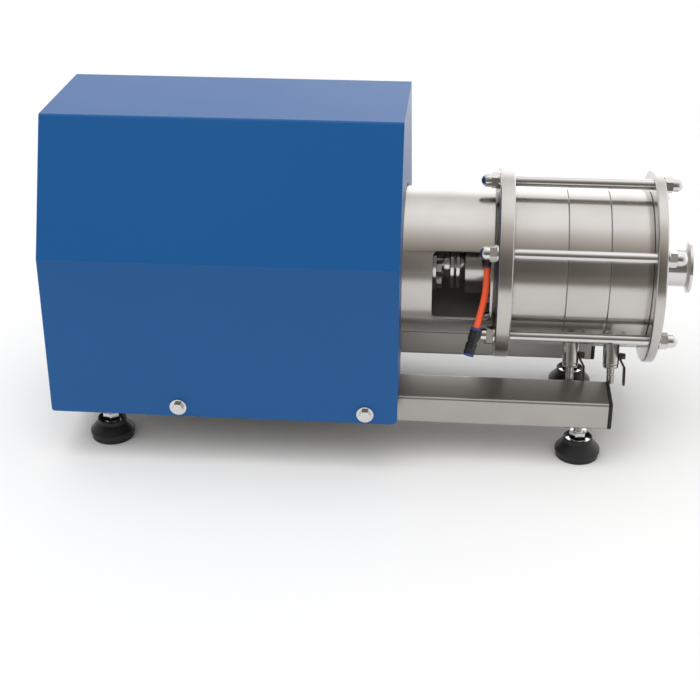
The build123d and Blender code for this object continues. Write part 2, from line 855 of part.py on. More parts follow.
def lantern():
    """Turned housing that carries the pump on the motor, with one window at the front."""
    flange_end = motor_face_x + lantern_flange_thickness
    bore = lantern_radius - lantern_wall
    body = turned([
        (motor_face_x, bore),
        (motor_face_x, lantern_flange_radius),
        (flange_end, lantern_flange_radius),
        (flange_end, lantern_radius),
        (seal_plate_x - lantern_end_chamfer, lantern_radius),
        (seal_plate_x, lantern_radius - lantern_end_chamfer),
        (seal_plate_x, lantern_end_bore),
        (seal_plate_x - lantern_end_thickness, lantern_end_bore),
        (seal_plate_x - lantern_end_thickness, bore),
    ])
    window_x = seal_plate_x - window_from_seal_plate - window_length / 2
    window_z = shaft_z + (window_top + window_bottom) / 2
    window = Plane(origin=(window_x, 0, window_z), x_dir=(1, 0, 0), z_dir=(0, -1, 0))
    opening = RectangleRounded(window_length, window_top - window_bottom, window_corner)
    body -= extrude(window * opening, lantern_radius + 1)
    for angle in ring_angles(screw_count, screw_phase):
        y, z = around(lantern_screw_circle, angle)
        body -= round_bar(motor_face_x, flange_end, screw_radius + bolt_clearance, y, shaft_z + z)
        y, z = around(lantern_end_screw_circle, angle)
        body -= round_bar(seal_plate_x - lantern_end_thickness, seal_plate_x,
                          screw_radius + bolt_clearance, y, shaft_z + z)
    return body


def cap_screw(x, direction, radius, angle, grip):
    """Socket head screw whose head sits on the face at x and whose shank runs along direction."""
    y, z = around(radius, angle)
    seat = Plane(origin=(x, y, shaft_z + z), x_dir=(0, 1, 0), z_dir=(-direction, 0, 0))
    head = extrude(seat * Circle(screw_head_radius), screw_head_height)
    head -= extrude(seat * Pos(0, 0, screw_head_height - socket_depth) * hexagon(socket_flats), socket_depth)
    return head + extrude(seat * Circle(screw_radius), -(grip + screw_engagement))


def cap_screws():
    """Equal screws: lantern to motor, lantern to seal plate and seal housing to seal plate."""
    screws = []
    for angle in ring_angles(screw_count, screw_phase):
        screws.append(cap_screw(motor_face_x + lantern_flange_thickness, -1, lantern_screw_circle, angle,
                                lantern_flange_thickness - screw_end_gap))
        screws.append(cap_screw(seal_plate_x - lantern_end_thickness, 1, lantern_end_screw_circle, angle,
                                lantern_end_thickness))
        screws.append(cap_screw(seal_plate_x - seal_housing_flange_thickness, 1, seal_screw_circle, angle,
                                seal_housing_flange_thickness))
    return screws


def coupling():
    """Flanged coupling hub on the motor shaft."""
    pump_side = coupling_x - coupling_flange_thickness
    motor_side = pump_side - coupling_hub_flange_thickness
    bore = motor_shaft_radius
    hub = turned([
        (pump_side - coupling_hub_length, bore),
        (pump_side - coupling_hub_length, coupling_hub_radius),
        (motor_side, coupling_hub_radius),
        (motor_side, coupling_flange_radius),
        (pump_side, coupling_flange_radius),
        (pump_side, bore),
    ])
    for angle in ring_angles(coupling_bolt_count, coupling_bolt_phase):
        y, z = around(coupling_bolt_circle, angle)
        hub -= round_bar(motor_side, pump_side, coupling_bolt_radius + thread_clearance, y, shaft_z + z)
    return hub


def coupling_bolts():
    """Hexagon bolts that join the pump shaft to the coupling hub."""
    bolts = []
    for angle in ring_angles(coupling_bolt_count, coupling_bolt_phase):
        y, z = around(coupling_bolt_circle, angle)
        seat = square_to_shaft(coupling_x, y, shaft_z + z)
        grip = coupling_flange_thickness + coupling_hub_flange_thickness - screw_end_gap
        bolts.append(extrude(seat * hexagon(coupling_bolt_flats), coupling_bolt_head)
                     + extrude(seat * Circle(coupling_bolt_radius), -grip))
    return bolts


def pump_shaft():
    """Stepped shaft from the coupling flange through the seal to the three rotors."""
    flange_back = coupling_x - coupling_flange_thickness
    recess_end = motor_face_x + motor_shaft_length + seat_clearance
    collar_end = seal_plate_x - shaft_collar_gap
    rotor_start = outlet_ring_x + rotor_hub_gap
    rotor_end = rotor_start + 3 * hub_length
    shaft = turned([
        (flange_back, motor_shaft_radius + seat_clearance),
        (flange_back, coupling_flange_radius),
        (coupling_x, coupling_flange_radius),
        (coupling_x, shaft_neck_radius),
        (collar_end - shaft_collar_length, shaft_neck_radius),
        (collar_end - shaft_collar_length, shaft_collar_radius),
        (collar_end, shaft_collar_radius),
        (collar_end, pump_shaft_radius),
        (rotor_start, pump_shaft_radius),
        (rotor_start, rotor_seat_radius),
        (rotor_end, rotor_seat_radius),
        (rotor_end, shaft_thread_radius),
        (rotor_end + shaft_thread_length, shaft_thread_radius),
        (rotor_end + shaft_thread_length, 0),
        (recess_end, 0),
        (recess_end, motor_shaft_radius + seat_clearance),
    ])
    for angle in ring_angles(coupling_bolt_count, coupling_bolt_phase):
        y, z = around(coupling_bolt_circle, angle)
        shaft -= round_bar(flange_back, coupling_x, coupling_bolt_radius + seat_clearance, y, shaft_z + z)
    return shaft


def slinger_discs():
    """Two discs that throw off leaked drops before they reach the motor."""
    discs = []
    start = seal_plate_x - shaft_collar_gap
    for place in (start, start + slinger_thickness + slinger_gap):
        end = place + slinger_thickness
        discs.append(turned([
            (place, pump_shaft_radius),
            (place, slinger_radius - slinger_edge),
            (place + slinger_edge, slinger_radius),
            (end - slinger_edge, slinger_radius),
            (end, slinger_radius - slinger_edge),
            (end, pump_shaft_radius + slinger_hub),
            (end + slinger_gap, pump_shaft_radius + slinger_hub),
            (end + slinger_gap, pump_shaft_radius),
        ]))
    return discs


# Shaft seal

def seal_housing():
    """Housing of the shaft seal with a port for the flush elbow."""
    left = seal_plate_x - seal_housing_length
    body = turned([
        (left, seal_housing_lip_radius),
        (left, seal_housing_radius - seal_housing_edge),
        (left + seal_housing_edge, seal_housing_radius),
        (seal_plate_x - seal_housing_flange_thickness, seal_housing_radius),
        (seal_plate_x - seal_housing_flange_thickness, seal_housing_flange_radius),
        (seal_plate_x, seal_housing_flange_radius),
        (seal_plate_x, seal_housing_bore),
        (left + seal_housing_lip_thickness, seal_housing_bore),
        (left + seal_housing_lip_thickness, seal_housing_lip_radius),
    ])
    for angle in ring_angles(screw_count, screw_phase):
        y, z = around(seal_screw_circle, angle)
        body -= round_bar(seal_plate_x - seal_housing_flange_thickness, seal_plate_x,
                          screw_radius + bolt_clearance, y, shaft_z + z)
    port = flush_plane(seal_housing_bore - 2)
    return body - extrude(port * Circle(flush_spigot_radius + thread_clearance),
                          seal_housing_radius - seal_housing_bore + 3)


def seal_seat():
    """Stationary ring of the seal, held in the seal plate."""
    end = seal_plate_x + seal_seat_thickness
    return turned([
        (seal_plate_x, seal_seat_bore),
        (seal_plate_x, seal_seat_radius),
        (end, seal_seat_radius),
        (end, seal_seat_bore),
    ])


def seal_head():
    """Rotating bellows and face of the seal, gripped on the shaft."""
    end = seal_plate_x - seal_film
    start = end - seal_head_length
    waist = (start + end) / 2
    return turned([
        (start, pump_shaft_radius),
        (start, seal_head_radius - seal_head_edge),
        (waist - 2 * seal_head_slope, seal_head_radius - seal_head_edge),
        (waist - seal_head_slope, seal_head_radius - seal_head_waist),
        (waist + seal_head_slope, seal_head_radius - seal_head_waist),
        (waist + 2 * seal_head_slope, seal_head_radius),
        (end - seal_head_slope, seal_head_radius),
        (end - seal_head_slope, seal_head_radius - seal_head_edge),
        (end, seal_head_radius - seal_head_edge),
        (end, pump_shaft_radius),
    ])


# Pump flanges, rings and stages

def rod_holes():
    """Bores of both flanges for the tie rods."""
    length = end_plate_face - seal_plate_x
    bores = []
    for angle in ring_angles(rod_count, rod_phase):
        y, z = around(rod_circle, angle)
        bores.append(round_bar(seal_plate_x - 1, seal_plate_x + length + 1,
                               rod_radius + rod_hole_clearance, y, shaft_z + z))
    return bores


def seal_plate():
    """Thick flange between the lantern and the chamber."""
    end = outlet_ring_x
    seat_end = seal_plate_x + seal_seat_thickness
    plate = turned([
        (seal_plate_x, seal_seat_radius + seat_clearance),
        (seal_plate_x, flange_radius - flange_chamfer),
        (seal_plate_x + flange_chamfer, flange_radius),
        (end - flange_chamfer, flange_radius),
        (end, flange_radius - flange_chamfer),
        (end, pump_shaft_radius + seal_plate_shaft_gap),
        (seat_end, pump_shaft_radius + seal_plate_shaft_gap),
        (seat_end, seal_seat_radius + seat_clearance),
    ])
    for bore in rod_holes():
        plate -= bore
    for angle in ring_angles(screw_count, screw_phase):
        for circle in (lantern_end_screw_circle, seal_screw_circle):
            y, z = around(circle, angle)
            plate -= round_bar(seal_plate_x, seal_plate_x + screw_engagement + screw_end_gap,
                               screw_radius + thread_clearance, y, shaft_z + z)
    return plate


def chamber_ring(start, length):
    """Ring of the chamber with a gasket groove on its left face and a stator seat on its right."""
    end = start + length
    groove_inner = gasket_radius - gasket_width / 2
    groove_outer = gasket_radius + gasket_width / 2
    seat = ring_bore_radius + stator_seat_depth
    return turned([
        (start, ring_bore_radius),
        (start, groove_inner),
        (start + gasket_depth, groove_inner),
        (start + gasket_depth, groove_outer),
        (start, groove_outer),
        (start, ring_radius - ring_chamfer),
        (start + ring_chamfer, ring_radius),
        (end - ring_chamfer, ring_radius),
        (end, ring_radius - ring_chamfer),
        (end, seat + seat_clearance),
        (end - stator_plate_thickness, seat + seat_clearance),
        (end - stator_plate_thickness, ring_bore_radius),
    ])


def outlet_port_plane(distance):
    """Plane square to the outlet, at a distance behind the shaft axis."""
    return Plane(
        origin=(outlet_ring_x + outlet_from_seal_plate, distance, shaft_z),
        x_dir=(1, 0, 0),
        z_dir=(0, 1, 0),
    )


def outlet_ring():
    """First ring, with the seat of the outlet tube at the rear."""
    ring = chamber_ring(outlet_ring_x, outlet_ring_length)
    seat_y = ring_radius - port_seat_depth
    ring -= extrude(outlet_port_plane(ring_bore_radius / 2) * Circle(tube_radius - tube_wall), ring_radius)
    return ring - extrude(outlet_port_plane(seat_y) * Circle(tube_radius + seat_clearance), ring_radius)


def drained_ring(start):
    """Ring with a flat and a threaded port for its drain valve."""
    ring = chamber_ring(start, stage_length)
    flat = valve_plane(start + valve_from_joint, ring_radius - valve_flat_depth)
    ring -= extrude(flat * Circle(valve_body_radius + 1), 2 * valve_flat_depth + 1)
    port = valve_plane(start + valve_from_joint, ring_bore_radius - 2)
    return ring - extrude(port * Circle(valve_spigot_radius + thread_clearance),
                          ring_radius - ring_bore_radius + 4)


def gaskets():
    """Sealing rings in the grooves of the rings and the end plate."""
    seals = []
    inner = gasket_radius - gasket_width / 2 + seat_clearance
    outer = gasket_radius + gasket_width / 2 - seat_clearance
    for start in (outlet_ring_x, middle_ring_x, inlet_ring_x, end_plate_x):
        end = start + gasket_depth
        seals.append(turned([(start, inner), (start, outer), (end, outer), (end, inner)]))
    return seals


def end_plate():
    """Flange that closes the chamber at the inlet."""
    groove_inner = gasket_radius - gasket_width / 2
    groove_outer = gasket_radius + gasket_width / 2
    seat_x = end_plate_face - port_seat_depth
    plate = turned([
        (end_plate_x, tube_radius - tube_wall),
        (end_plate_x, groove_inner),
        (end_plate_x + gasket_depth, groove_inner),
        (end_plate_x + gasket_depth, groove_outer),
        (end_plate_x, groove_outer),
        (end_plate_x, flange_radius - flange_chamfer),
        (end_plate_x + flange_chamfer, flange_radius),
        (end_plate_face - flange_chamfer, flange_radius),
        (end_plate_face, flange_radius - flange_chamfer),
        (end_plate_face, tube_radius + seat_clearance),
        (seat_x, tube_radius + seat_clearance),
        (seat_x, tube_radius - tube_wall),
    ])
    for bore in rod_holes():
        plate -= bore
    return plate


def slots(start, length, inner, outer, count, width, phase=0.0):
    """Radial cutters that leave teeth on a ring between two radii."""
    cutters = []
    for angle in ring_angles(count, phase):
        cutters.append(Pos(start, 0, shaft_z) * Rot(-angle, 0, 0) * Pos(0, -inner, 0) * Box(
            length, outer - inner, width, align=(Align.MIN, Align.MAX, Align.CENTER)))
    return cutters


def rotor(stage_end, index):
    """Disc with two rings of teeth on a hub that fits the shaft."""
    hub_start = outlet_ring_x + rotor_hub_gap + index * hub_length
    disc_end = stage_end - rotor_disc_from_end
    disc_start = disc_end - rotor_disc_thickness
    tip = disc_end + tooth_length
    first_outer = inner_tooth_radius + tooth_thickness
    second_inner = rotor_outer_radius - tooth_thickness
    wheel = turned([
        (hub_start, rotor_seat_radius),
        (hub_start, hub_radius),
        (disc_start, hub_radius),
        (disc_start, rotor_outer_radius),
        (tip, rotor_outer_radius),
        (tip, second_inner),
        (disc_end, second_inner),
        (disc_end, first_outer),
        (tip, first_outer),
        (tip, inner_tooth_radius),
        (disc_end, inner_tooth_radius),
        (disc_end, hub_radius),
        (hub_start + hub_length, hub_radius),
        (hub_start + hub_length, rotor_seat_radius),
    ])
    cut_length = tooth_length
    cut_start = disc_end + tooth_root
    spare = tooth_clearance / 2
    for cutter in slots(cut_start, cut_length, inner_tooth_radius - spare, first_outer + spare,
                        rotor_slot_counts[0], rotor_slot_width):
        wheel -= cutter
    for cutter in slots(cut_start, cut_length, second_inner - spare, rotor_outer_radius + spare,
                        rotor_slot_counts[1], rotor_slot_width):
        wheel -= cutter
    return wheel


def stator(stage_end):
    """Plate clamped in a ring, with two rings of teeth between those of the rotor."""
    plate_start = stage_end - stator_plate_thickness
    tip = plate_start - tooth_length
    first_outer = stator_inner_radius + tooth_thickness - tooth_clearance
    second_outer = stator_outer_radius + tooth_thickness
    seat = ring_bore_radius + stator_seat_depth
    plate = turned([
        (tip, stator_inner_radius),
        (tip, first_outer),
        (plate_start, first_outer),
        (plate_start, stator_outer_radius),
        (tip, stator_outer_radius),
        (tip, second_outer),
        (plate_start, second_outer),
        (plate_start, seat),
        (stage_end, seat),
        (stage_end, stator_hole_radius),
        (plate_start, stator_hole_radius),
        (plate_start, stator_inner_radius),
    ])
    spare = tooth_clearance / 2
    cut_end = plate_start - tooth_root
    for cutter in slots(cut_end - tooth_length, tooth_length, stator_inner_radius - spare,
                        first_outer + spare, stator_slot_counts[0], stator_slot_width, stator_slot_phase):
        plate -= cutter
    for cutter in slots(cut_end - tooth_length, tooth_length, stator_outer_radius - spare,
                        second_outer + spare, stator_slot_counts[1], stator_slot_width, stator_slot_phase):
        plate -= cutter
    return plate


def rotor_nut():
    """Rounded nut that clamps the rotors on the shaft."""
    start = outlet_ring_x + rotor_hub_gap + 3 * hub_length
    bore_end = start + shaft_thread_length + nut_bore_gap
    radius = pump_shaft_radius
    nut = turned([
        (start, shaft_thread_radius + thread_clearance),
        (start, radius),
        (bore_end - nut_crown, radius),
        (bore_end + nut_crown - nut_bore_gap, radius - nut_crown_slope),
        (bore_end + nut_crown, 0),
        (bore_end, 0),
        (bore_end, shaft_thread_radius + thread_clearance),
    ])
    flats_place = square_to_shaft(start)
    spanner_end = bore_end - start - nut_crown
    ring = extrude(flats_place * (Circle(2 * radius) - hexagon(nut_flats_ratio * radius)), spanner_end)
    return nut - ring


# Ferrules

def ferrule_profile(wall_end, length):
    """Section of a clamp ferrule: axial place and radius, from its inner end to its sealing face."""
    bore = tube_radius - tube_wall
    groove_inner = ferrule_groove_radius - ferrule_groove_width
    groove_outer = ferrule_groove_radius + ferrule_groove_width
    return [
        (-port_seat_depth, bore),
        (-port_seat_depth, tube_radius),
        (0, tube_radius),
        (wall_end, tube_radius + weld_leg),
        (wall_end + weld_leg, tube_radius),
        (length - ferrule_rim - ferrule_slope, tube_radius),
        (length - ferrule_rim, ferrule_radius),
        (length, ferrule_radius),
        (length, groove_outer),
        (length - ferrule_groove_width / 2, ferrule_groove_radius),
        (length, groove_inner),
        (length, bore),
    ]


def inlet_ferrule():
    """Inlet tube welded in the end plate, with its clamp ferrule."""
    points = ferrule_profile(0.0, inlet_length)
    return turned([(end_plate_face + place, radius) for place, radius in points])


def outlet_ferrule():
    """Outlet tube welded in the first ring, with its clamp ferrule."""
    points = ferrule_profile(outlet_weld_start, outlet_reach - ring_radius)
    place = Plane(
        origin=(outlet_ring_x + outlet_from_seal_plate, ring_radius, shaft_z),
        x_dir=(0, 1, 0),
        z_dir=(0, 0, 1),
    )
    outline = make_face(Polyline(*points, close=True))
    axis = Axis((outlet_ring_x + outlet_from_seal_plate, 0, shaft_z), (0, 1, 0))
    return revolve(place * outline, axis)


# Tie rods

def tie_rods():
    """Round bars between the acorn nuts of the two flanges."""
    overhang = rod_washer_thickness + rod_end_engagement
    return [
        round_bar(seal_plate_x - overhang, end_plate_face + overhang, rod_radius,
                  around(rod_circle, angle)[0], shaft_z + around(rod_circle, angle)[1])
        for angle in ring_angles(rod_count, rod_phase)
    ]


def tie_rod_washers():
    """Plain washers on both flanges."""
    washers = []
    for angle in ring_angles(rod_count, rod_phase):
        y, z = around(rod_circle, angle)
        for x in (seal_plate_x - rod_washer_thickness, end_plate_face):
            ring = Circle(rod_washer_radius) - Circle(rod_radius + rod_hole_clearance)
            washers.append(extrude(square_to_shaft(x, y, shaft_z + z) * ring, rod_washer_thickness))
    return washers


def acorn_nut():
    """Domed nut along +X with its bearing face at the origin."""
    dome_start = acorn_height - acorn_dome_radius
    outline = Polyline((acorn_height, 0), (0, 0), (0, acorn_dome_radius), (dome_start, acorn_dome_radius))
    dome = CenterArc((dome_start, 0), acorn_dome_radius, 0, 90)
    body = revolve(make_face(outline + dome), Axis.X)
    edge = acorn_flats / 2 + acorn_hex_edge
    corner = acorn_flats / 2 + acorn_hex_corner
    envelope = revolve(make_face(Polyline(
        (0, 0),
        (0, edge),
        (corner - edge, corner),
        (acorn_hex_height + edge - corner, corner),
        (acorn_hex_height, edge),
        (acorn_hex_height, 0),
        close=True,
    )), Axis.X)
    place = Plane(origin=(0, 0, 0), x_dir=(0, 1, 0), z_dir=(1, 0, 0))
    body += extrude(place * hexagon(acorn_flats), acorn_hex_height) & envelope
    return body - extrude(place * Circle(rod_radius + thread_clearance), rod_end_engagement + acorn_bore_gap)


def acorn_nuts():
    """Domed nuts on both ends of every tie rod."""
    nuts = []
    nut = acorn_nut()
    for angle in ring_angles(rod_count, rod_phase):
        y, z = around(rod_circle, angle)
        nuts.append(Pos(end_plate_face + rod_washer_thickness, y, shaft_z + z) * nut)
        nuts.append(Pos(seal_plate_x - rod_washer_thickness, y, shaft_z + z) * Rot(0, 0, 180) * nut)
    return nuts


# Drain valves

def valve_plane(x, distance=0.0):
    """Plane square to a drain valve, at a distance from the shaft axis."""
    y, z = around(distance, valve_angle)
    outwards = (0, *around(1.0, valve_angle))
    return Plane(origin=(x, y, shaft_z + z), x_dir=(1, 0, 0), z_dir=outwards)


def valve_body(x):
    """Body, collar and outlet stub of a drain valve, with its ball chamber."""
    seat = ring_radius - valve_flat_depth
    outline = Polyline(
        (0, ring_bore_radius + 1),
        (valve_spigot_radius, ring_bore_radius + 1),
        (valve_spigot_radius, seat),
        (valve_body_radius, seat),
        (valve_body_radius, valve_body_end - valve_shoulder),
        (valve_collar_radius, valve_body_end),
        (valve_collar_radius, valve_collar_end - valve_collar_edge),
        (valve_collar_radius - valve_collar_edge, valve_collar_end),
        (valve_stub_radius, valve_collar_end),
        (valve_stub_radius, valve_stub_end),
        (0, valve_stub_end),
        close=True,
    )
    body = revolve(Plane.XZ * make_face(outline), Axis.Z)
    body -= Cylinder(valve_bore_radius, 4 * valve_stub_end)
    body -= Pos(0, 0, valve_ball_centre) * Sphere(valve_ball_radius + valve_ball_clearance)
    stem_bore = extrude(
        Plane(origin=(0, 0, valve_ball_centre), x_dir=(0, 1, 0), z_dir=(1, 0, 0))
        * Circle(valve_stem_radius + running_clearance), valve_body_radius + 1)
    return valve_plane(x).location * (body - stem_bore)


def valve_ball(x):
    """Bored ball of a drain valve with its stem and the nut that holds the lever."""
    centre = Plane(origin=(0, 0, valve_ball_centre), x_dir=(0, 1, 0), z_dir=(1, 0, 0))
    knob_start = valve_body_radius + lever_side_gap + lever_thickness
    ball = Pos(0, 0, valve_ball_centre) * Sphere(valve_ball_radius)
    ball += extrude(centre * Circle(valve_stem_radius), valve_knob_end - valve_stem_end_gap)
    ball -= Pos(0, 0, valve_ball_centre) * Cylinder(valve_bore_radius, 3 * valve_ball_radius)
    knob = extrude(centre.offset(knob_start) * Circle(valve_knob_radius), valve_knob_end - knob_start)
    return valve_plane(x).location * (ball + knob)


def valve_lever(x):
    """Flat lever, bent once outwards, that turns with the stem."""
    near = valve_body_radius + lever_side_gap
    far = near + lever_offset
    outline = Polyline(
        (near, lever_top),
        (near + lever_thickness, lever_top),
        (near + lever_thickness, lever_bend_start),
        (far + lever_thickness, lever_bend_end),
        (far + lever_thickness, lever_end),
        (far, lever_end),
        (far, lever_bend_end),
        (near, lever_bend_start),
        close=True,
    )
    lever = extrude(Plane.XZ * make_face(outline), lever_width / 2, both=True)
    side_view = Plane(origin=(0, 0, 0), x_dir=(0, 1, 0), z_dir=(1, 0, 0))
    half = lever_width / 2
    shape = side_view * (Pos(0, (lever_top + lever_end) / 2) * SlotOverall(
        lever_end - lever_top, lever_width, rotation=90))
    lever &= extrude(shape, far + 2 * lever_thickness)
    bore = Plane(origin=(0, 0, valve_ball_centre), x_dir=(0, 1, 0), z_dir=(1, 0, 0))
    lever -= extrude(bore * Circle(valve_stem_radius), far + half)
    return valve_plane(x).location * lever


# Flush line

def flush_plane(distance):
    """Plane square to the inlet leg of the flush elbow, at a distance from the shaft axis."""
    y, z = around(distance, flush_angle)
    return Plane(
        origin=(seal_plate_x - flush_from_seal_plate, y, shaft_z + z), x_dir=(1, 0, 0), z_dir=(0, y, z))


def flush_elbow():
    """Push-in elbow screwed in the seal housing, with its outlet leg pointing down."""
    neck_start = seal_housing_radius + flush_hex_length
    body_start = neck_start + flush_neck_length
    leg = extrude(flush_plane(body_start) * Circle(flush_body_radius), flush_reach - body_start)
    leg += extrude(flush_plane(neck_start) * Circle(flush_neck_radius), flush_neck_length)
    leg += extrude(flush_plane(seal_housing_radius) * hexagon(flush_hex_flats, flush_hex_turn),
                   flush_hex_length)
    leg += extrude(flush_plane(seal_housing_radius) * Circle(flush_spigot_radius), -flush_spigot_depth)
    corner_y, corner_z = around(flush_reach, flush_angle)
    corner = (seal_plate_x - flush_from_seal_plate, corner_y, shaft_z + corner_z)
    leg += Pos(*corner) * Sphere(flush_body_radius)
    down = flush_down(0)
    leg += extrude(down * Circle(flush_body_radius), flush_drop)
    leg += extrude(flush_down(flush_drop) * Circle(flush_collet_radius), flush_collet_length)
    leg -= extrude(down * Circle(flush_bore_radius), flush_drop + flush_collet_length)
    return leg


def flush_down(distance):
    """Plane square to the outlet leg of the elbow, at a distance from the elbow's corner."""
    corner_y, corner_z = around(flush_reach, flush_angle)
    turn = math.radians(flush_angle)
    direction = (0, -math.sin(turn), -math.cos(turn))
    origin = (
        seal_plate_x - flush_from_seal_plate,
        corner_y + distance * direction[1],
        shaft_z + corner_z + distance * direction[2],
    )
    return Plane(origin=origin, x_dir=(1, 0, 0), z_dir=direction)


def flush_points():
    """Route of the tube in the frame of the part, starting at the collet face of the elbow."""
    collet_face = flush_drop + flush_collet_length
    exit_points = [flush_down(collet_face).origin, flush_down(collet_face + flush_exit_run).origin]
    return exit_points + [Vector(seal_plate_x + x, y, shaft_z + z) for x, y, z in flush_route]


def flush_tube():
    """Flexible tube from the elbow to the union: straight runs joined by tangent arcs."""
    points = flush_points()
    runs = [b - a for a, b in zip(points, points[1:])]
    radii = []
    for before, after in zip(runs, runs[1:]):
        half_turn = math.radians(before.get_angle(after)) / 2
        radii.append(0.45 * min(before.length, after.length) / math.tan(half_turn))
    print("flush tube radii", [round(radius, 1) for radius in radii])
    path = FilletPolyline(*points, radius=radii)
    section = Plane(origin=points[0], z_dir=runs[0]) * Circle(flush_tube_radius)
    tube = sweep(section, path)
    print("flush tube length", round(path.length, 2), "volume ratio",
          round(tube.volume / (math.pi * flush_tube_radius ** 2 * path.length), 4))
    return tube


def tube_union():
    """Straight push-in union hanging at the end of the flush tube."""
    before_last, top = flush_points()[-2:]
    place = Plane(origin=top, x_dir=(1, 0, 0), z_dir=top - before_last)
    first_end = union_collet_length + union_body_length
    second_start = first_end + union_waist_length
    second_end = second_start + union_body_length
    total = second_end + union_collet_length
    outline = Polyline(
        (0, 0),
        (union_collet_radius, 0),
        (union_collet_radius, union_collet_length),
        (union_radius - union_edge, union_collet_length),
        (union_radius, union_collet_length + union_edge_length),
        (union_radius, first_end),
        (union_waist_radius, first_end),
        (union_waist_radius, second_start),
        (union_radius, second_start),
        (union_radius, second_end - union_edge_length),
        (union_radius - union_edge, second_end),
        (union_collet_radius, second_end),
        (union_collet_radius, total),
        (flush_tube_radius + slide_clearance, total),
        (flush_tube_radius + slide_clearance, second_start),
        (0, second_start),
        close=True,
    )
    return place.location * revolve(Plane.XZ * make_face(outline), Axis.Z)


# Write every node

foot_places = [(x, side * rail_centre_y) for x in foot_xs for side in (-1, 1)]
valve_xs = (middle_ring_x + valve_from_joint, inlet_ring_x + valve_from_joint)

save("front_rail", [rail(-1)])
save("rear_rail", [rail(1)])
save("crossmembers", [crossmember(x) for x in cross_positions])
save("rail_end_caps", [
    end_cap(x, side, outward)
    for side in (-1, 1)
    for x, outward in ((rail_right_x, 1), (rail_left_x, -1))
])
for number, (foot_x, foot_y) in enumerate(foot_places, start=1):
    save(f"foot_base_{number}", [foot_base(foot_x, foot_y)])
    save(f"foot_spindle_{number}", [foot_spindle(foot_x, foot_y)])

save("drive_end_shield", [drive_end_shield()])
save("rear_end_shield", [rear_end_shield()])
save("motor_frame", [motor_frame()])
save("motor_stator", [motor_stator()])
save("motor_bearings", [
    motor_bearing(motor_face_x - end_shield_wall - bearing_width),
    motor_bearing(rear_face_x),
])
save("motor_rotor", [motor_rotor()])
save("cooling_fan", [cooling_fan()])
save("fan_cowl", [fan_cowl()])
save("terminal_box", [terminal_box()])
save("motor_foot_bolts", motor_foot_bolts())

save("motor_cover", [motor_cover()])
save("cover_bolts", cover_bolts())
save("cover_washers", cover_washers())

save("lantern", [lantern()])
save("cap_screws", cap_screws())
save("coupling", [coupling()])
save("coupling_bolts", coupling_bolts())
save("pump_shaft", [pump_shaft()])
save("slinger_discs", slinger_discs())
save("seal_housing", [seal_housing()])
save("seal_seat", [seal_seat()])
save("seal_head", [seal_head()])

save("seal_plate", [seal_plate()])
save("outlet_ring", [outlet_ring()])
save("middle_ring", [drained_ring(middle_ring_x)])
save("inlet_ring", [drained_ring(inlet_ring_x)])
save("chamber_gaskets", gaskets())
save("end_plate", [end_plate()])
for index, stage_end in enumerate(stage_ends):
    save(f"rotor_{index + 1}", [rotor(stage_end, index)])
    save(f"stator_{index + 1}", [stator(stage_end)])
save("rotor_nut", [rotor_nut()])
save("inlet_ferrule", [inlet_ferrule()])
save("outlet_ferrule", [outlet_ferrule()])

save("tie_rods", tie_rods())
save("tie_rod_washers", tie_rod_washers())
save("acorn_nuts", acorn_nuts())

save("valve_bodies", [valve_body(x) for x in valve_xs])
for number, valve_x in enumerate(valve_xs, start=1):
    save(f"valve_ball_{number}", [valve_ball(valve_x)])
    save(f"valve_lever_{number}", [valve_lever(valve_x)])

save("flush_elbow", [flush_elbow()])
save("flush_tube", [flush_tube()])
save("tube_union", [tube_union()])
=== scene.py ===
"""Looks of an inline high shear mixer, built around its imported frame. Lengths are metres unless named mm."""
import json
import math

import bmesh
import bpy
from mathutils import Matrix, Vector

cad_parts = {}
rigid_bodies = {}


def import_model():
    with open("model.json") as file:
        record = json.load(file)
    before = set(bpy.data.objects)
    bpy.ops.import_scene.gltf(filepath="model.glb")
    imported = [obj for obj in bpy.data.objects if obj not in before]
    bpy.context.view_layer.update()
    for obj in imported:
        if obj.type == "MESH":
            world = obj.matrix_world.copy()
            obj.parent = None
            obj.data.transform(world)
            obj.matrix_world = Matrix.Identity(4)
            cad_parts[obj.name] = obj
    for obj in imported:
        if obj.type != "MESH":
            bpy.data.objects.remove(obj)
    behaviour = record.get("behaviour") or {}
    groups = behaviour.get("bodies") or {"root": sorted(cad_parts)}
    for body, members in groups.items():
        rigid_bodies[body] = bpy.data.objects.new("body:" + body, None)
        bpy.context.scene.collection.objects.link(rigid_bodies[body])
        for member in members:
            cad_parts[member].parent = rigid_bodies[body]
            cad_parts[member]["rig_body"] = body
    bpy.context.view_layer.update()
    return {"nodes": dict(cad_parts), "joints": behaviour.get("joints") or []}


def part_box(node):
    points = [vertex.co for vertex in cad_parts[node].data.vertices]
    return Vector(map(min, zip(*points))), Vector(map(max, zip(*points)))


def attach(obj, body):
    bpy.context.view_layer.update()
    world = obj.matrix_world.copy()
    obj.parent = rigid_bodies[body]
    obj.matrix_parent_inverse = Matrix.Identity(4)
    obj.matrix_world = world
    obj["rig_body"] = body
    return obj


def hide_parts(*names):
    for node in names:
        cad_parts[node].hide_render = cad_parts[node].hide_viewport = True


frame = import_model()
MM = 0.001

# Places read from the frame
plate_low, plate_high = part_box("seal_plate")
cover_low, cover_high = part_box("motor_cover")
lantern_low, lantern_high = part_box("lantern")
SHAFT_Z = (plate_low.z + plate_high.z) / 2
SEAL_X = plate_low.x
END_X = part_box("end_plate")[1].x
SHAFT_CENTRE = Vector((0, 0, SHAFT_Z))
X_AXIS = Vector((1, 0, 0))
Y_AXIS = Vector((0, 1, 0))
Z_AXIS = Vector((0, 0, 1))

# Camera of the photograph
CAMERA_PLACE = (0.0867, -1.3013, 0.7178)
CAMERA_PITCH = 26.40
CAMERA_YAW = 4.971
CAMERA_ROLL = -0.073
CAMERA_LENS = 72.44


# Nodes

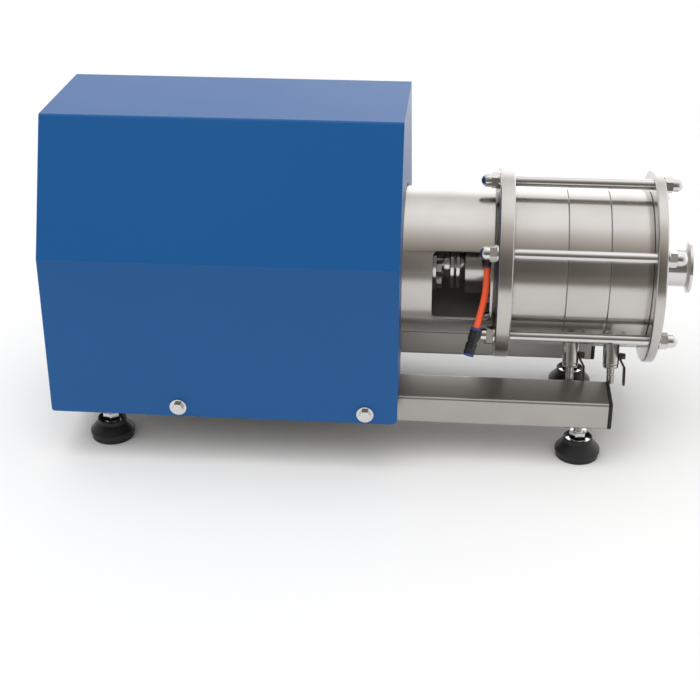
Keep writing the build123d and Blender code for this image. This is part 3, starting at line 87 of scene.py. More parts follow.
def feed(tree, node, inputs):
    """Link sockets to a node's inputs, or set them to fixed values, by name or number."""
    for label, source in dict(inputs).items():
        if isinstance(source, bpy.types.NodeSocket):
            tree.links.new(source, node.inputs[label])
        else:
            node.inputs[label].default_value = source


def new_node(tree, kind, inputs=(), **settings):
    """Node of a kind with its settings and its inputs."""
    node = tree.nodes.new(kind)
    for label, value in settings.items():
        setattr(node, label, value)
    feed(tree, node, inputs)
    return node


def new_group(name, inputs, outputs, kind="ShaderNodeTree"):
    """Empty node group with sockets, each given as its name, its kind and, if it has one, its default."""
    tree = bpy.data.node_groups.new(name, kind)
    for way, sockets in (("INPUT", inputs), ("OUTPUT", outputs)):
        for label, value_kind, *default in sockets:
            socket = tree.interface.new_socket(label, in_out=way, socket_type=f"NodeSocket{value_kind}")
            if default:
                socket.default_value = default[0]
    return tree, tree.nodes.new("NodeGroupInput"), tree.nodes.new("NodeGroupOutput")


def vector_math(tree, operation, *sources):
    """Result of a Vector Math node fed by sockets."""
    labels = (0, "Scale" if operation == "SCALE" else 1)
    node = new_node(tree, "ShaderNodeVectorMath", zip(labels, sources), operation=operation)
    return node.outputs["Value" if operation in ("LENGTH", "DOT_PRODUCT") else "Vector"]


def scalar_math(tree, operation, *sources, clamp=False):
    """Result of a Math node fed by sockets or fixed numbers."""
    node = new_node(tree, "ShaderNodeMath", enumerate(sources), operation=operation, use_clamp=clamp)
    return node.outputs[0]


def ranged(tree, source, low, high, at_low, at_high, **settings):
    """Values of a socket from low to high, spread between two levels and held beyond them."""
    inputs = {"Value": source, "From Min": low, "From Max": high, "To Min": at_low, "To Max": at_high}
    return new_node(tree, "ShaderNodeMapRange", inputs, **settings).outputs["Result"]


def noise(tree, place, scale, detail):
    """Level of fractal noise at a place."""
    inputs = {"Vector": place, "Scale": scale, "Detail": detail}
    return new_node(tree, "ShaderNodeTexNoise", inputs).outputs["Fac"]


def place_on_object(tree):
    """Place of a point of the surface, in metres."""
    return tree.nodes.new("ShaderNodeTexCoord").outputs["Object"]


FINE_DETAIL = 3.0
CLOUD_DETAIL = 4.0


def turned_group():
    """Fine lines left by a lathe round an axis, with soft clouds of handling over them."""
    tree, entry, leave = new_group(
        "turned_marks",
        [("Centre", "Vector", (0, 0, 0)), ("Axis", "Vector", (1, 0, 0)), ("Lines per Metre", "Float", 900.0),
         ("Cloud Scale", "Float", 18.0)],
        [("Lines", "Float"), ("Clouds", "Float"), ("Along", "Float"), ("Radius", "Float")])
    given = entry.outputs
    place = place_on_object(tree)
    from_centre = vector_math(tree, "SUBTRACT", place, given["Centre"])
    along = vector_math(tree, "DOT_PRODUCT", from_centre, given["Axis"])
    on_axis = vector_math(tree, "SCALE", given["Axis"], along)
    radius = vector_math(tree, "LENGTH", vector_math(tree, "SUBTRACT", from_centre, on_axis))
    along_and_out = new_node(tree, "ShaderNodeCombineXYZ", {"X": along, "Y": radius}).outputs[0]
    feed(tree, leave, {
        "Lines": noise(tree, along_and_out, given["Lines per Metre"], FINE_DETAIL),
        "Clouds": noise(tree, place, given["Cloud Scale"], CLOUD_DETAIL), "Along": along, "Radius": radius})
    return tree


def grain_group():
    """Grain of a rolled, moulded or sprayed surface, stretched along one direction where wanted."""
    tree, entry, leave = new_group(
        "surface_grain",
        [("Stretch", "Vector", (1, 1, 1)), ("Grain per Metre", "Float", 600.0),
         ("Cloud Scale", "Float", 12.0)],
        [("Grain", "Float"), ("Clouds", "Float")])
    given = entry.outputs
    place = place_on_object(tree)
    stretched = vector_math(tree, "MULTIPLY", place, given["Stretch"])
    feed(tree, leave, {"Grain": noise(tree, stretched, given["Grain per Metre"], FINE_DETAIL),
                       "Clouds": noise(tree, place, given["Cloud Scale"], CLOUD_DETAIL)})
    return tree


TURNED = turned_group()
GRAIN = grain_group()


# Materials

def finish_material(name, group, settings, colours, roughness, metallic=0.0, bump=0.1, bump_depth=0.00005,
                    sockets=None):
    """Principled material whose colour, roughness and relief come from one of the groups.

    colours are two colours mixed by the clouds, and roughness is its base, its share from the fine
    marks and its share from the clouds."""
    material = bpy.data.materials.new(name)
    material.use_nodes = True
    tree = material.node_tree
    marks = new_node(tree, "ShaderNodeGroup", settings, node_tree=group)
    fine = marks.outputs[0]
    clouds = marks.outputs["Clouds"]
    mixed = {"Factor": clouds, "A": (*colours[0], 1.0), "B": (*colours[1], 1.0)}
    mix = new_node(tree, "ShaderNodeMix", mixed, data_type="RGBA")
    base, from_fine, from_clouds = roughness
    fine_share = scalar_math(tree, "MULTIPLY_ADD", fine, from_fine, base - (from_fine + from_clouds) / 2)
    cloud_share = scalar_math(tree, "MULTIPLY", clouds, from_clouds)
    relief = new_node(tree, "ShaderNodeBump", {"Strength": bump, "Distance": bump_depth, "Height": fine})
    feed(tree, tree.nodes["Principled BSDF"], {
        "Base Color": mix.outputs["Result"],
        "Roughness": scalar_math(tree, "ADD", fine_share, cloud_share, clamp=True),
        "Normal": relief.outputs["Normal"], "Metallic": metallic, **(sockets or {})})
    return material


def turned_metal(name, colours, roughness, centre=SHAFT_CENTRE, axis=X_AXIS, lines=900.0):
    """Metal turned about the given axis."""
    return finish_material(name, TURNED, {"Centre": centre, "Axis": axis, "Lines per Metre": lines},
                           colours, roughness, metallic=1.0, bump=0.03)


def grained(name, colours, roughness, stretch=(1, 1, 1), grain=600.0, clouds=12.0, **looks):
    """Moulded, sprayed or cast surface, or one with grain along one direction."""
    settings = {"Stretch": stretch, "Grain per Metre": grain, "Cloud Scale": clouds}
    return finish_material(name, GRAIN, settings, colours, roughness, **looks)


def grained_metal(name, colours, roughness, **looks):
    """Rolled, brushed or drawn metal."""
    return grained(name, colours, roughness, metallic=1.0, **looks)


def dull_inside(material, radius, end):
    """Blasted finish on a turned piece's surfaces within a radius and short of an end, in metres."""
    less_metallic = -0.6
    rougher = 0.3
    tree = material.node_tree
    shader = tree.nodes["Principled BSDF"]
    marks = next(node for node in tree.nodes if node.type == "GROUP")
    within = scalar_math(tree, "LESS_THAN", marks.outputs["Radius"], radius)
    before = scalar_math(tree, "LESS_THAN", marks.outputs["Along"], end)
    inside = scalar_math(tree, "MULTIPLY", within, before)
    polish = shader.inputs["Roughness"].links[0].from_socket
    extra = scalar_math(tree, "MULTIPLY", inside, rougher)
    feed(tree, shader, {"Metallic": scalar_math(tree, "MULTIPLY_ADD", inside, less_metallic, 1.0),
                        "Roughness": scalar_math(tree, "ADD", polish, extra, clamp=True)})


STEEL = ((0.60, 0.575, 0.55), (0.47, 0.445, 0.42))
BRIGHT = ((0.74, 0.73, 0.72), (0.58, 0.57, 0.56))
TUBE_POLISH = (0.16, 0.05, 0.08)
TUBE_LINES = 700.0
BLASTED_RADIUS = 71.8 * MM
POLISHED_END = 4.0 * MM

ring_steel = turned_metal("turned_ring_steel", STEEL, (0.20, 0.07, 0.06))
flange_steel = turned_metal("turned_flange_steel", STEEL, (0.20, 0.07, 0.06), lines=1200.0)
lantern_steel = turned_metal("turned_lantern_steel", STEEL, (0.21, 0.07, 0.06))
dull_inside(lantern_steel, BLASTED_RADIUS, SEAL_X - POLISHED_END)
shaft_steel = turned_metal("ground_shaft_steel", BRIGHT, (0.18, 0.06, 0.08), lines=1600.0)
tube_steel = turned_metal("polished_tube_steel", BRIGHT, TUBE_POLISH, lines=TUBE_LINES)
seal_carbon = turned_metal("seal_carbon", ((0.06, 0.06, 0.065), (0.04, 0.04, 0.04)), (0.35, 0.1, 0.1))
rail_steel = grained_metal("brushed_rail_steel", ((0.48, 0.455, 0.43), (0.38, 0.36, 0.335)),
                           (0.32, 0.16, 0.08), stretch=(0.02, 1, 1), grain=900.0)
rod_steel = grained_metal("drawn_rod_steel", BRIGHT, (0.17, 0.08, 0.06), stretch=(0.03, 1, 1), grain=900.0,
                          bump=0.05)
nut_steel = grained_metal("polished_nut_steel", BRIGHT, (0.14, 0.05, 0.08), bump=0.04)
valve_steel = grained_metal("drawn_valve_steel", STEEL, (0.20, 0.06, 0.08))
foot_chrome = grained_metal("chromed_foot_plate", ((0.80, 0.80, 0.80), (0.70, 0.70, 0.70)),
                            (0.08, 0.02, 0.05), bump=0.02)
lever_steel = grained_metal("brown_lever_steel", ((0.16, 0.12, 0.10), (0.10, 0.075, 0.065)),
                            (0.34, 0.1, 0.1))
core_steel = grained_metal("laminated_core_steel", ((0.3, 0.3, 0.31), (0.22, 0.22, 0.23)), (0.4, 0.2, 0.1),
                           stretch=(1, 0.02, 0.02), grain=1500.0)
cast_grey = grained("cast_motor_grey", ((0.17, 0.19, 0.21), (0.13, 0.145, 0.16)), (0.5, 0.15, 0.1),
                    grain=420.0, bump=0.3, bump_depth=0.0002)
cover_blue = grained("blue_sheet_coating", ((0.002, 0.077, 0.250), (0.003, 0.087, 0.275)), (0.40, 0.05, 0.06),
                     grain=420.0, clouds=5.0, bump=0.10, bump_depth=0.0002,
                     sockets={"Specular IOR Level": 0.35})
foot_black = grained("black_foot_plastic", ((0.008, 0.008, 0.009), (0.015, 0.015, 0.015)), (0.40, 0.15, 0.12),
                     grain=700.0, bump=0.2, bump_depth=0.0001, sockets={"Specular IOR Level": 0.35})
cap_black = grained("black_cap_plastic", ((0.008, 0.008, 0.008), (0.014, 0.013, 0.013)), (0.38, 0.1, 0.1),
                    grain=800.0, bump=0.2, bump_depth=0.0001, sockets={"Specular IOR Level": 0.3})
fitting_black = grained("black_fitting_plastic", ((0.012, 0.012, 0.013), (0.02, 0.02, 0.02)),
                        (0.30, 0.08, 0.08), grain=900.0, bump=0.12)
collet_blue = grained("blue_collet_plastic", ((0.015, 0.05, 0.25), (0.02, 0.065, 0.30)), (0.32, 0.05, 0.06),
                      grain=900.0, bump=0.08)
collet_violet = grained("violet_collet_plastic", ((0.06, 0.045, 0.11), (0.08, 0.06, 0.13)),
                        (0.32, 0.05, 0.06), grain=900.0, bump=0.08)
tube_orange = grained("orange_flush_tube", ((0.86, 0.10, 0.035), (0.95, 0.13, 0.05)), (0.24, 0.04, 0.05),
                      grain=300.0, clouds=60.0, bump=0.05,
                      sockets={"Coat Weight": 0.3, "Coat Roughness": 0.1,
                               "Subsurface Weight": 0.15, "Subsurface Scale": 0.004})
gasket_rubber = grained("gasket_rubber", ((0.015, 0.015, 0.015), (0.025, 0.025, 0.025)), (0.6, 0.1, 0.1))


# Outlines and meshes

TINY = 1e-6
QUARTER_TURN = [math.radians(90 * step / 8) for step in range(9)]


def in_mm(outline, start=0.0):
    """Outline of (along, radius) points given in mm, from a start in metres."""
    return [(start + along * MM, radius * MM) for along, radius in outline]


def ring_outline(start, end, bore, radius):
    """Outline of a plain ring."""
    return [(start, bore), (start, radius), (end, radius), (end, bore)]


def softened(outline, radius, steps=3):
    """Closed outline of (along, radius) points with its corners off the axis rounded."""
    result = []
    count = len(outline)
    for index in range(count):
        before = Vector(outline[index - 1])
        corner = Vector(outline[index])
        after = Vector(outline[(index + 1) % count])
        to_before = before - corner
        to_after = after - corner
        reach = min(radius, 0.45 * to_before.length, 0.45 * to_after.length)
        if corner.y < TINY / 10 or reach < TINY:
            result.append(tuple(corner))
            continue
        start = corner + to_before.normalized() * reach
        end = corner + to_after.normalized() * reach
        for step in range(steps + 1):
            part = step / steps
            point = start.lerp(corner, part).lerp(corner.lerp(end, part), part)
            result.append(tuple(point))
    return result


def rounded_rectangle(width, height, radius, steps=6):
    """Corner points of a rectangle with rounded corners, about its centre."""
    points = []
    for quarter, (x_side, y_side) in enumerate(((1, 1), (-1, 1), (-1, -1), (1, -1))):
        for step in range(steps + 1):
            turn = math.radians(90 * quarter + 90 * step / steps)
            points.append((x_side * (width / 2 - radius) + radius * math.cos(turn),
                           y_side * (height / 2 - radius) + radius * math.sin(turn)))
    return points


def hexagon(flats, turn=0.0):
    """Corner points of a hexagon, given across its flats."""
    radius = flats / 2 / math.cos(math.radians(30))
    angles = [math.radians(turn + 60 * step) for step in range(6)]
    return [(radius * math.cos(angle), radius * math.sin(angle)) for angle in angles]


def around(radius, angle):
    """Y and Z offsets from the shaft for an angle where 0 is the front and 90 is up."""
    turn = math.radians(angle)
    return -radius * math.cos(turn), radius * math.sin(turn)


def mesh_of(work):
    """Plain mesh of a work mesh, which is freed."""
    mesh = bpy.data.meshes.new("shape")
    work.to_mesh(mesh)
    work.free()
    return mesh


def joined(meshes):
    """One mesh that holds several, each closed by itself."""
    work = bmesh.new()
    for mesh in meshes:
        work.from_mesh(mesh)
        bpy.data.meshes.remove(mesh)
    return mesh_of(work)


def turned_mesh(outline, origin=SHAFT_CENTRE, axis=X_AXIS, segments=128, soften=0.4 * MM):
    """Closed outline of (along, radius) turned about an axis."""
    axis = Vector(axis).normalized()
    side = axis.orthogonal().normalized()
    other = axis.cross(side)
    points = softened(outline, soften) if soften else outline
    work = bmesh.new()
    loops = []
    for along, radius in points:
        centre = Vector(origin) + axis * along
        if radius < TINY / 10:
            loops.append([work.verts.new(centre)] * segments)
            continue
        loop = []
        for step in range(segments):
            turn = 2 * math.pi * step / segments
            spoke = side * math.cos(turn) + other * math.sin(turn)
            loop.append(work.verts.new(centre + spoke * radius))
        loops.append(loop)
    for index, loop in enumerate(loops):
        following = loops[(index + 1) % len(loops)]
        for step in range(segments):
            after = (step + 1) % segments
            corners = []
            for vertex in (loop[step], loop[after], following[after], following[step]):
                if vertex not in corners:
                    corners.append(vertex)
            if len(corners) > 2:
                work.faces.new(corners)
    bmesh.ops.recalc_face_normals(work, faces=work.faces)
    return mesh_of(work)


def prism_mesh(corners, origin, direction, depth, up=Z_AXIS):
    """Prism of a flat outline of (side, up) points, pushed along a direction."""
    direction = Vector(direction).normalized()
    side = Vector(up).cross(direction).normalized()
    rise = direction.cross(side)
    work = bmesh.new()
    rings = []
    for push in (0.0, depth):
        rings.append([work.verts.new(Vector(origin) + side * across + rise * height + direction * push)
                      for across, height in corners])
    count = len(corners)
    for index in range(count):
        after = (index + 1) % count
        work.faces.new((rings[0][index], rings[0][after], rings[1][after], rings[1][index]))
    work.faces.new(rings[0][::-1])
    work.faces.new(rings[1])
    bmesh.ops.recalc_face_normals(work, faces=work.faces)
    return mesh_of(work)


def node_copy(node):
    """Clean copy of a CAD node's mesh: merged corners and flat faces in one piece."""
    mesh = frame["nodes"][node].data.copy()
    work = bmesh.new()
    work.from_mesh(mesh)
    bmesh.ops.remove_doubles(work, verts=work.verts, dist=TINY)
    bmesh.ops.dissolve_limit(work, angle_limit=math.radians(0.5), verts=work.verts, edges=work.edges)
    work.to_mesh(mesh)
    work.free()
    return mesh


# Pieces

def link(obj):
    """Show an object in the scene."""
    bpy.context.scene.collection.objects.link(obj)
    return obj


def smooth_by_angle(mesh, degrees=35.0):
    """Smooth shading with sharp edges above an angle."""
    mesh.shade_smooth()
    mesh.set_sharp_from_angle(angle=math.radians(degrees))


def apply_modifiers(obj):
    """Turn an object's modifiers into plain mesh."""
    bpy.context.view_layer.update()
    evaluated = obj.evaluated_get(bpy.context.evaluated_depsgraph_get())
    mesh = bpy.data.meshes.new_from_object(evaluated)
    old = obj.data
    obj.modifiers.clear()
    obj.data = mesh
    bpy.data.meshes.remove(old)


def modify(obj, kind, **settings):
    """Put an object through one modifier."""
    modifier = obj.modifiers.new("change", kind)
    for label, value in settings.items():
        setattr(modifier, label, value)
    apply_modifiers(obj)


def soften_edges(obj, width, degrees):
    """Round the edges of an object that bend by more than an angle."""
    modify(obj, "BEVEL", width=width, segments=2, limit_method="ANGLE", angle_limit=math.radians(degrees))


def cut_mesh(mesh, cutters, operation="DIFFERENCE"):
    """Mesh left by a boolean with each cutter in turn."""
    obj = link(bpy.data.objects.new("shape", mesh))
    for cutter_mesh in cutters:
        cutter = link(bpy.data.objects.new("cutter", cutter_mesh))
        modify(obj, "BOOLEAN", operation=operation, solver="EXACT", object=cutter)
        bpy.data.objects.remove(cutter)
        bpy.data.meshes.remove(cutter_mesh)
    shape = obj.data
    bpy.data.objects.remove(obj)
    return shape


def paint(mesh, material):
    """Give a mesh one material."""
    mesh.materials.clear()
    mesh.materials.append(material)


def set_in_frame(obj, node, replaces=True):
    """Let an object ride with a CAD node's body and, where it replaces it, take its place."""
    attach(obj, frame["nodes"][node]["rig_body"])
    if replaces:
        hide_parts(node)


def finish_piece(mesh, node, material, bevel=0.0, own_name=None):
    """Piece with softened edges in place of a CAD node, or beside it if it has a name of its own."""
    obj = link(bpy.data.objects.new(own_name or f"{node}_piece", mesh))
    paint(mesh, material)
    if bevel:
        soften_edges(obj, bevel, 32)
    smooth_by_angle(obj.data)
    if bevel:
        modify(obj, "WEIGHTED_NORMAL", keep_sharp=True)
    obj.data.name = obj.name
    set_in_frame(obj, node, replaces=not own_name)
    return obj


def dressed_copy(node, material, bevel=0.0):
    """Piece with the shape of a CAD node, softened edges and a finished material."""
    return finish_piece(node_copy(node), node, material, bevel)


# Copies round the shaft

def circle_tree():
    """Copies of the piece's own mesh on a circle about an X axis, realized and given a material."""
    tree, entry, leave = new_group(
        "copies_round_shaft",
        [("Geometry", "Geometry"), ("Count", "Int"), ("Circle Radius", "Float"), ("First Angle", "Float"),
         ("Axis Height", "Float"), ("Own Turn", "Float"), ("Finish", "Material")],
        [("Geometry", "Geometry")], "GeometryNodeTree")
    given = entry.outputs
    points = new_node(tree, "GeometryNodeMeshLine", {"Count": given["Count"]})
    index = tree.nodes.new("GeometryNodeInputIndex").outputs[0]
    share = scalar_math(tree, "DIVIDE", index, given["Count"])
    turn = scalar_math(tree, "ADD", scalar_math(tree, "MULTIPLY", share, 2 * math.pi), given["First Angle"])
    back = scalar_math(tree, "MULTIPLY", scalar_math(tree, "COSINE", turn), -1.0)
    rise = scalar_math(tree, "MULTIPLY", scalar_math(tree, "SINE", turn), given["Circle Radius"])
    place = new_node(tree, "ShaderNodeCombineXYZ", {
        "Y": scalar_math(tree, "MULTIPLY", back, given["Circle Radius"]),
        "Z": scalar_math(tree, "ADD", rise, given["Axis Height"])})
    spread = new_node(tree, "GeometryNodeSetPosition", {
        "Geometry": points.outputs["Mesh"], "Position": place.outputs[0]})
    rotation = new_node(tree, "ShaderNodeCombineXYZ", {
        "X": scalar_math(tree, "MULTIPLY", index, given["Own Turn"])})
    copies = new_node(tree, "GeometryNodeInstanceOnPoints", {
        "Points": spread.outputs["Geometry"], "Instance": given["Geometry"], "Rotation": rotation.outputs[0]})
    realized = new_node(tree, "GeometryNodeRealizeInstances", {"Geometry": copies.outputs["Instances"]})
    painted = new_node(tree, "GeometryNodeSetMaterial", {
        "Geometry": realized.outputs["Geometry"], "Material": given["Finish"]})
    feed(tree, leave, {"Geometry": painted.outputs["Geometry"]})
    return tree


def set_inputs(modifier, values):
    """Set a node modifier's inputs by their names, through the sockets' identifiers."""
    for item in modifier.node_group.interface.items_tree:
        if item.item_type == "SOCKET" and item.in_out == "INPUT" and item.name in values:
            modifier[item.identifier] = values[item.name]


CIRCLE_TREE = circle_tree()
ROD_CIRCLE = 86.0 * MM
ROD_RADIUS = 5.0 * MM
ROD_COUNT = 6
ROD_PHASE = 27.5


def piece_on_each_rod(mesh, node, material, own_turn=0.0):
    """Repeat a mesh that lies on the X axis at every tie rod, as one plain piece."""
    obj = link(bpy.data.objects.new(f"{node}_piece", mesh))
    smooth_by_angle(mesh)
    modifier = obj.modifiers.new("copies", "NODES")
    modifier.node_group = CIRCLE_TREE
    set_inputs(modifier, {
        "Count": ROD_COUNT, "Circle Radius": ROD_CIRCLE, "First Angle": math.radians(ROD_PHASE),
        "Axis Height": SHAFT_Z, "Own Turn": own_turn, "Finish": material,
    })
    apply_modifiers(obj)
    set_in_frame(obj, node)


# Pump: flanges, rings, rods and ferrules

SEAL_PLATE_BORE = 20.05 * MM
END_PLATE_BORE = 19.05 * MM
RING_RADIUS = 73.5 * MM
FLANGE_CHAMFER = 1.2 * MM
FINE_SEGMENTS = 192
WASHER_THICKNESS = 1.6 * MM
WASHER_RADIUS = 8.0 * MM
NUT_FLATS = 14.0 * MM
NUT_HEX_HEIGHT = 6.5 * MM
NUT_DOME_RADIUS = 6.5 * MM
NUT_HEIGHT = 16.5 * MM
NUT_TURN = 0.41
PORT_RADIUS = 17.5 * MM
THREAD_PITCH = 1.5 * MM


def rod_cutters(x_start, x_end):
    """Cutters for the tie rod holes of a flange."""
    beyond = 10.0 * MM
    outline = ring_outline(x_start - beyond, x_end + beyond, 0, ROD_RADIUS + 0.3 * MM)
    cutters = []
    for step in range(ROD_COUNT):
        y, z = around(ROD_CIRCLE, ROD_PHASE + step * 360 / ROD_COUNT)
        cutters.append(turned_mesh(outline, Vector((0, y, SHAFT_Z + z)), segments=32, soften=0))
    return cutters


def flange_piece(node, bore):
    """Turned flange with broken edges and its rod holes."""
    low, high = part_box(node)
    radius = (high.z - low.z) / 2
    outline = [
        (low.x, bore), (low.x, radius - FLANGE_CHAMFER), (low.x + FLANGE_CHAMFER, radius),
        (high.x - FLANGE_CHAMFER, radius), (high.x, radius - FLANGE_CHAMFER), (high.x, bore),
    ]
    disc = turned_mesh(outline, segments=FINE_SEGMENTS, soften=0.25 * MM)
    finish_piece(cut_mesh(disc, rod_cutters(low.x, high.x)), node, flange_steel)


def ring_piece(node):
    """Turned chamber ring, stepped back at its edges to leave a fine dark joint."""
    low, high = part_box(node)
    bore = 62.0 * MM
    chamfer = 0.35 * MM
    joint = 0.35 * MM
    floor = RING_RADIUS - 3.0 * MM
    edge = RING_RADIUS - chamfer
    outline = [
        (low.x, bore), (low.x, floor), (low.x + joint, floor), (low.x + joint, edge),
        (low.x + joint + chamfer, RING_RADIUS), (high.x - joint - chamfer, RING_RADIUS),
        (high.x - joint, edge), (high.x - joint, floor), (high.x, floor), (high.x, bore),
    ]
    finish_piece(turned_mesh(outline, segments=FINE_SEGMENTS, soften=0.1 * MM), node, ring_steel)


def acorn_mesh():
    """Pair of domed nuts on one rod, one at each flange."""
    corner = NUT_FLATS / 2 / math.cos(math.radians(30))
    beyond = corner + 0.02 * MM
    chamfers = [(0, 0), (0, corner - 0.9 * MM), (0.5 * MM, beyond), (NUT_HEX_HEIGHT - 0.7 * MM, beyond),
                (NUT_HEX_HEIGHT, corner - 1.1 * MM), (NUT_HEX_HEIGHT, 0)]
    foot = NUT_HEX_HEIGHT - 0.3 * MM
    dome_start = NUT_HEIGHT - NUT_DOME_RADIUS
    dome = [(foot, 0), (foot, NUT_DOME_RADIUS - 0.2 * MM), (dome_start, NUT_DOME_RADIUS - 0.05 * MM)]
    for turn in QUARTER_TURN[1:-1]:
        dome.append((dome_start + NUT_DOME_RADIUS * math.sin(turn), NUT_DOME_RADIUS * math.cos(turn)))
    dome.append((NUT_HEIGHT, 0))
    meshes = []
    for x_face, way in ((END_X + WASHER_THICKNESS, 1), (SEAL_X - WASHER_THICKNESS, -1)):
        face = Vector((x_face, 0, 0))
        out = Vector((way, 0, 0))
        block = prism_mesh(hexagon(NUT_FLATS), face, out, NUT_HEX_HEIGHT)
        envelope = turned_mesh(chamfers, face, out, segments=48, soften=0)
        meshes.append(cut_mesh(block, [envelope], "INTERSECT"))
        meshes.append(turned_mesh(dome, face, out, segments=40, soften=0))
    return joined(meshes)


def washer_mesh():
    """Pair of washers on one rod, one at each flange."""
    outline = ring_outline(0, WASHER_THICKNESS, ROD_RADIUS + 0.2 * MM, WASHER_RADIUS)
    return joined([turned_mesh(outline, Vector((x_face, 0, 0)), segments=48, soften=0.25 * MM)
                   for x_face in (END_X, SEAL_X - WASHER_THICKNESS)])


def thread_points(start, end, first_radius, second_radius):
    """Outline points that run to and fro between the crests and roots of a thread."""
    points = []
    while start < end:
        points += [(start, first_radius), (start + THREAD_PITCH / 2, second_radius)]
        start += THREAD_PITCH
    return points


def rod_mesh():
    """One drawn bar between the flanges, with thread crests where the nut at the seal plate grips it."""
    low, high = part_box("tie_rods")
    chamfer = 0.8 * MM
    outline = [
        (low.x, 0), (low.x, ROD_RADIUS - chamfer), (low.x + chamfer, ROD_RADIUS),
        *thread_points(low.x + 1.2 * MM, SEAL_X - WASHER_THICKNESS, ROD_RADIUS, ROD_RADIUS - 0.6 * MM),
        (SEAL_X, ROD_RADIUS), (high.x - chamfer, ROD_RADIUS), (high.x, ROD_RADIUS - chamfer), (high.x, 0),
    ]
    return turned_mesh(outline, Vector((0, 0, 0)), segments=40, soften=0)


def ferrule_mesh(origin, axis, weld, length):
    """Welded tube with its clamp ferrule, gasket groove and weld bead."""
    tube = 19.0 * MM
    rim = 25.25 * MM
    rim_start = length - 2.9 * MM
    slope_start = rim_start - 1.5 * MM
    hollow = 0.9 * MM
    bead = 3.0 * MM
    inner_end = -8.0 * MM
    outline = [
        (inner_end, PORT_RADIUS), (inner_end, tube), (weld, tube), (weld, tube + bead),
        (weld + 0.35 * bead, tube + 0.85 * bead), (weld + 0.8 * bead, tube + 0.3 * bead), (weld + bead, tube),
        (slope_start - hollow, tube), (slope_start, tube + hollow), (rim_start, rim - 0.3 * MM),
        (rim_start, rim), (length, rim), (length, 23.4 * MM), (length - 0.8 * MM, 21.8 * MM),
        (length, 20.2 * MM), (length, PORT_RADIUS),
    ]
    return turned_mesh(outline, origin, axis)


flange_piece("seal_plate", SEAL_PLATE_BORE)
flange_piece("end_plate", END_PLATE_BORE)
for node in ("outlet_ring", "middle_ring", "inlet_ring"):
    ring_piece(node)
piece_on_each_rod(rod_mesh(), "tie_rods", rod_steel)
piece_on_each_rod(washer_mesh(), "tie_rod_washers", nut_steel)
piece_on_each_rod(acorn_mesh(), "acorn_nuts", nut_steel, NUT_TURN)

inlet_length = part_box("inlet_ferrule")[1].x - END_X
inlet_centre = Vector((END_X, 0, SHAFT_Z))
finish_piece(ferrule_mesh(inlet_centre, X_AXIS, 0.0, inlet_length), "inlet_ferrule", tube_steel)
outlet_low, outlet_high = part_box("outlet_ferrule")
outlet_centre = Vector(((outlet_low.x + outlet_high.x) / 2, RING_RADIUS, SHAFT_Z))
outlet_steel = turned_metal("polished_outlet_steel", BRIGHT, TUBE_POLISH, outlet_centre, Y_AXIS, TUBE_LINES)
finish_piece(ferrule_mesh(outlet_centre, Y_AXIS, 0.4 * MM, outlet_high.y - outlet_centre.y), "outlet_ferrule",
             outlet_steel)


# Lantern with its window

WINDOW_LENGTH = 55.4 * MM
WINDOW_TOP = 35.0 * MM
WINDOW_BOTTOM = -36.2 * MM
WINDOW_CORNER = 5.0 * MM
WINDOW_GAP = 6.0 * MM
WINDOW_EDGE = 0.7 * MM
END_WALL = 4.2 * MM


def lantern_piece():
    """Turned lantern with flange, end wall and a milled window with broken edges."""
    radius = 72.5 * MM
    bore = 67.5 * MM
    wall_bore = 50.0 * MM
    flange = (lantern_high.z - lantern_low.z) / 2
    flange_end = lantern_low.x + 10.0 * MM
    chamfer = 3.5 * MM
    wall_x = SEAL_X - END_WALL
    outline = [
        (lantern_low.x, bore), (lantern_low.x, flange), (flange_end, flange), (flange_end, radius),
        (SEAL_X - chamfer, radius), (SEAL_X, radius - chamfer), (SEAL_X, wall_bore), (wall_x, wall_bore),
        (wall_x, bore),
    ]
    shell = turned_mesh(outline, segments=FINE_SEGMENTS, soften=0.3 * MM)
    centre = Vector((SEAL_X - WINDOW_GAP - WINDOW_LENGTH / 2, 0, SHAFT_Z + (WINDOW_TOP + WINDOW_BOTTOM) / 2))
    window = prism_mesh(rounded_rectangle(WINDOW_LENGTH, WINDOW_TOP - WINDOW_BOTTOM, WINDOW_CORNER), centre,
                        -Y_AXIS, 100.0 * MM)
    piece = finish_piece(cut_mesh(shell, [window]), "lantern", lantern_steel)
    soften_edges(piece, WINDOW_EDGE, 50)
    smooth_by_angle(piece.data)


lantern_piece()


# Pieces seen through the window

shaft_low, shaft_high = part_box("pump_shaft")
COUPLING_FACE = shaft_low.x + 7.5 * MM
COLLAR_START = SEAL_X - 51.5 * MM
COLLAR_END = SEAL_X - 45.3 * MM
SEAL_SEAT = 12.0 * MM
DISC_PITCH_MM = 5.7


def pump_shaft_mesh():
    """Pump shaft with its coupling flange, collar, seal seat, rotor seat and thread."""
    flange = 31.0 * MM
    hub = 14.0 * MM
    collar = 18.0 * MM
    rotor_seat = 10.0 * MM
    thread = 7.0 * MM
    rotor_start = plate_high.x + 1.5 * MM
    rotor_end = rotor_start + 120.0 * MM
    outline = [
        (shaft_low.x, 0), (shaft_low.x, flange), (COUPLING_FACE, flange), (COUPLING_FACE, hub),
        (COLLAR_START, hub), (COLLAR_START, collar), (COLLAR_END, collar), (COLLAR_END, SEAL_SEAT),
        (rotor_start, SEAL_SEAT), (rotor_start, rotor_seat), (rotor_end, rotor_seat), (rotor_end, thread),
        (shaft_high.x, thread), (shaft_high.x, 0),
    ]
    return turned_mesh(outline, segments=96, soften=0.5 * MM)


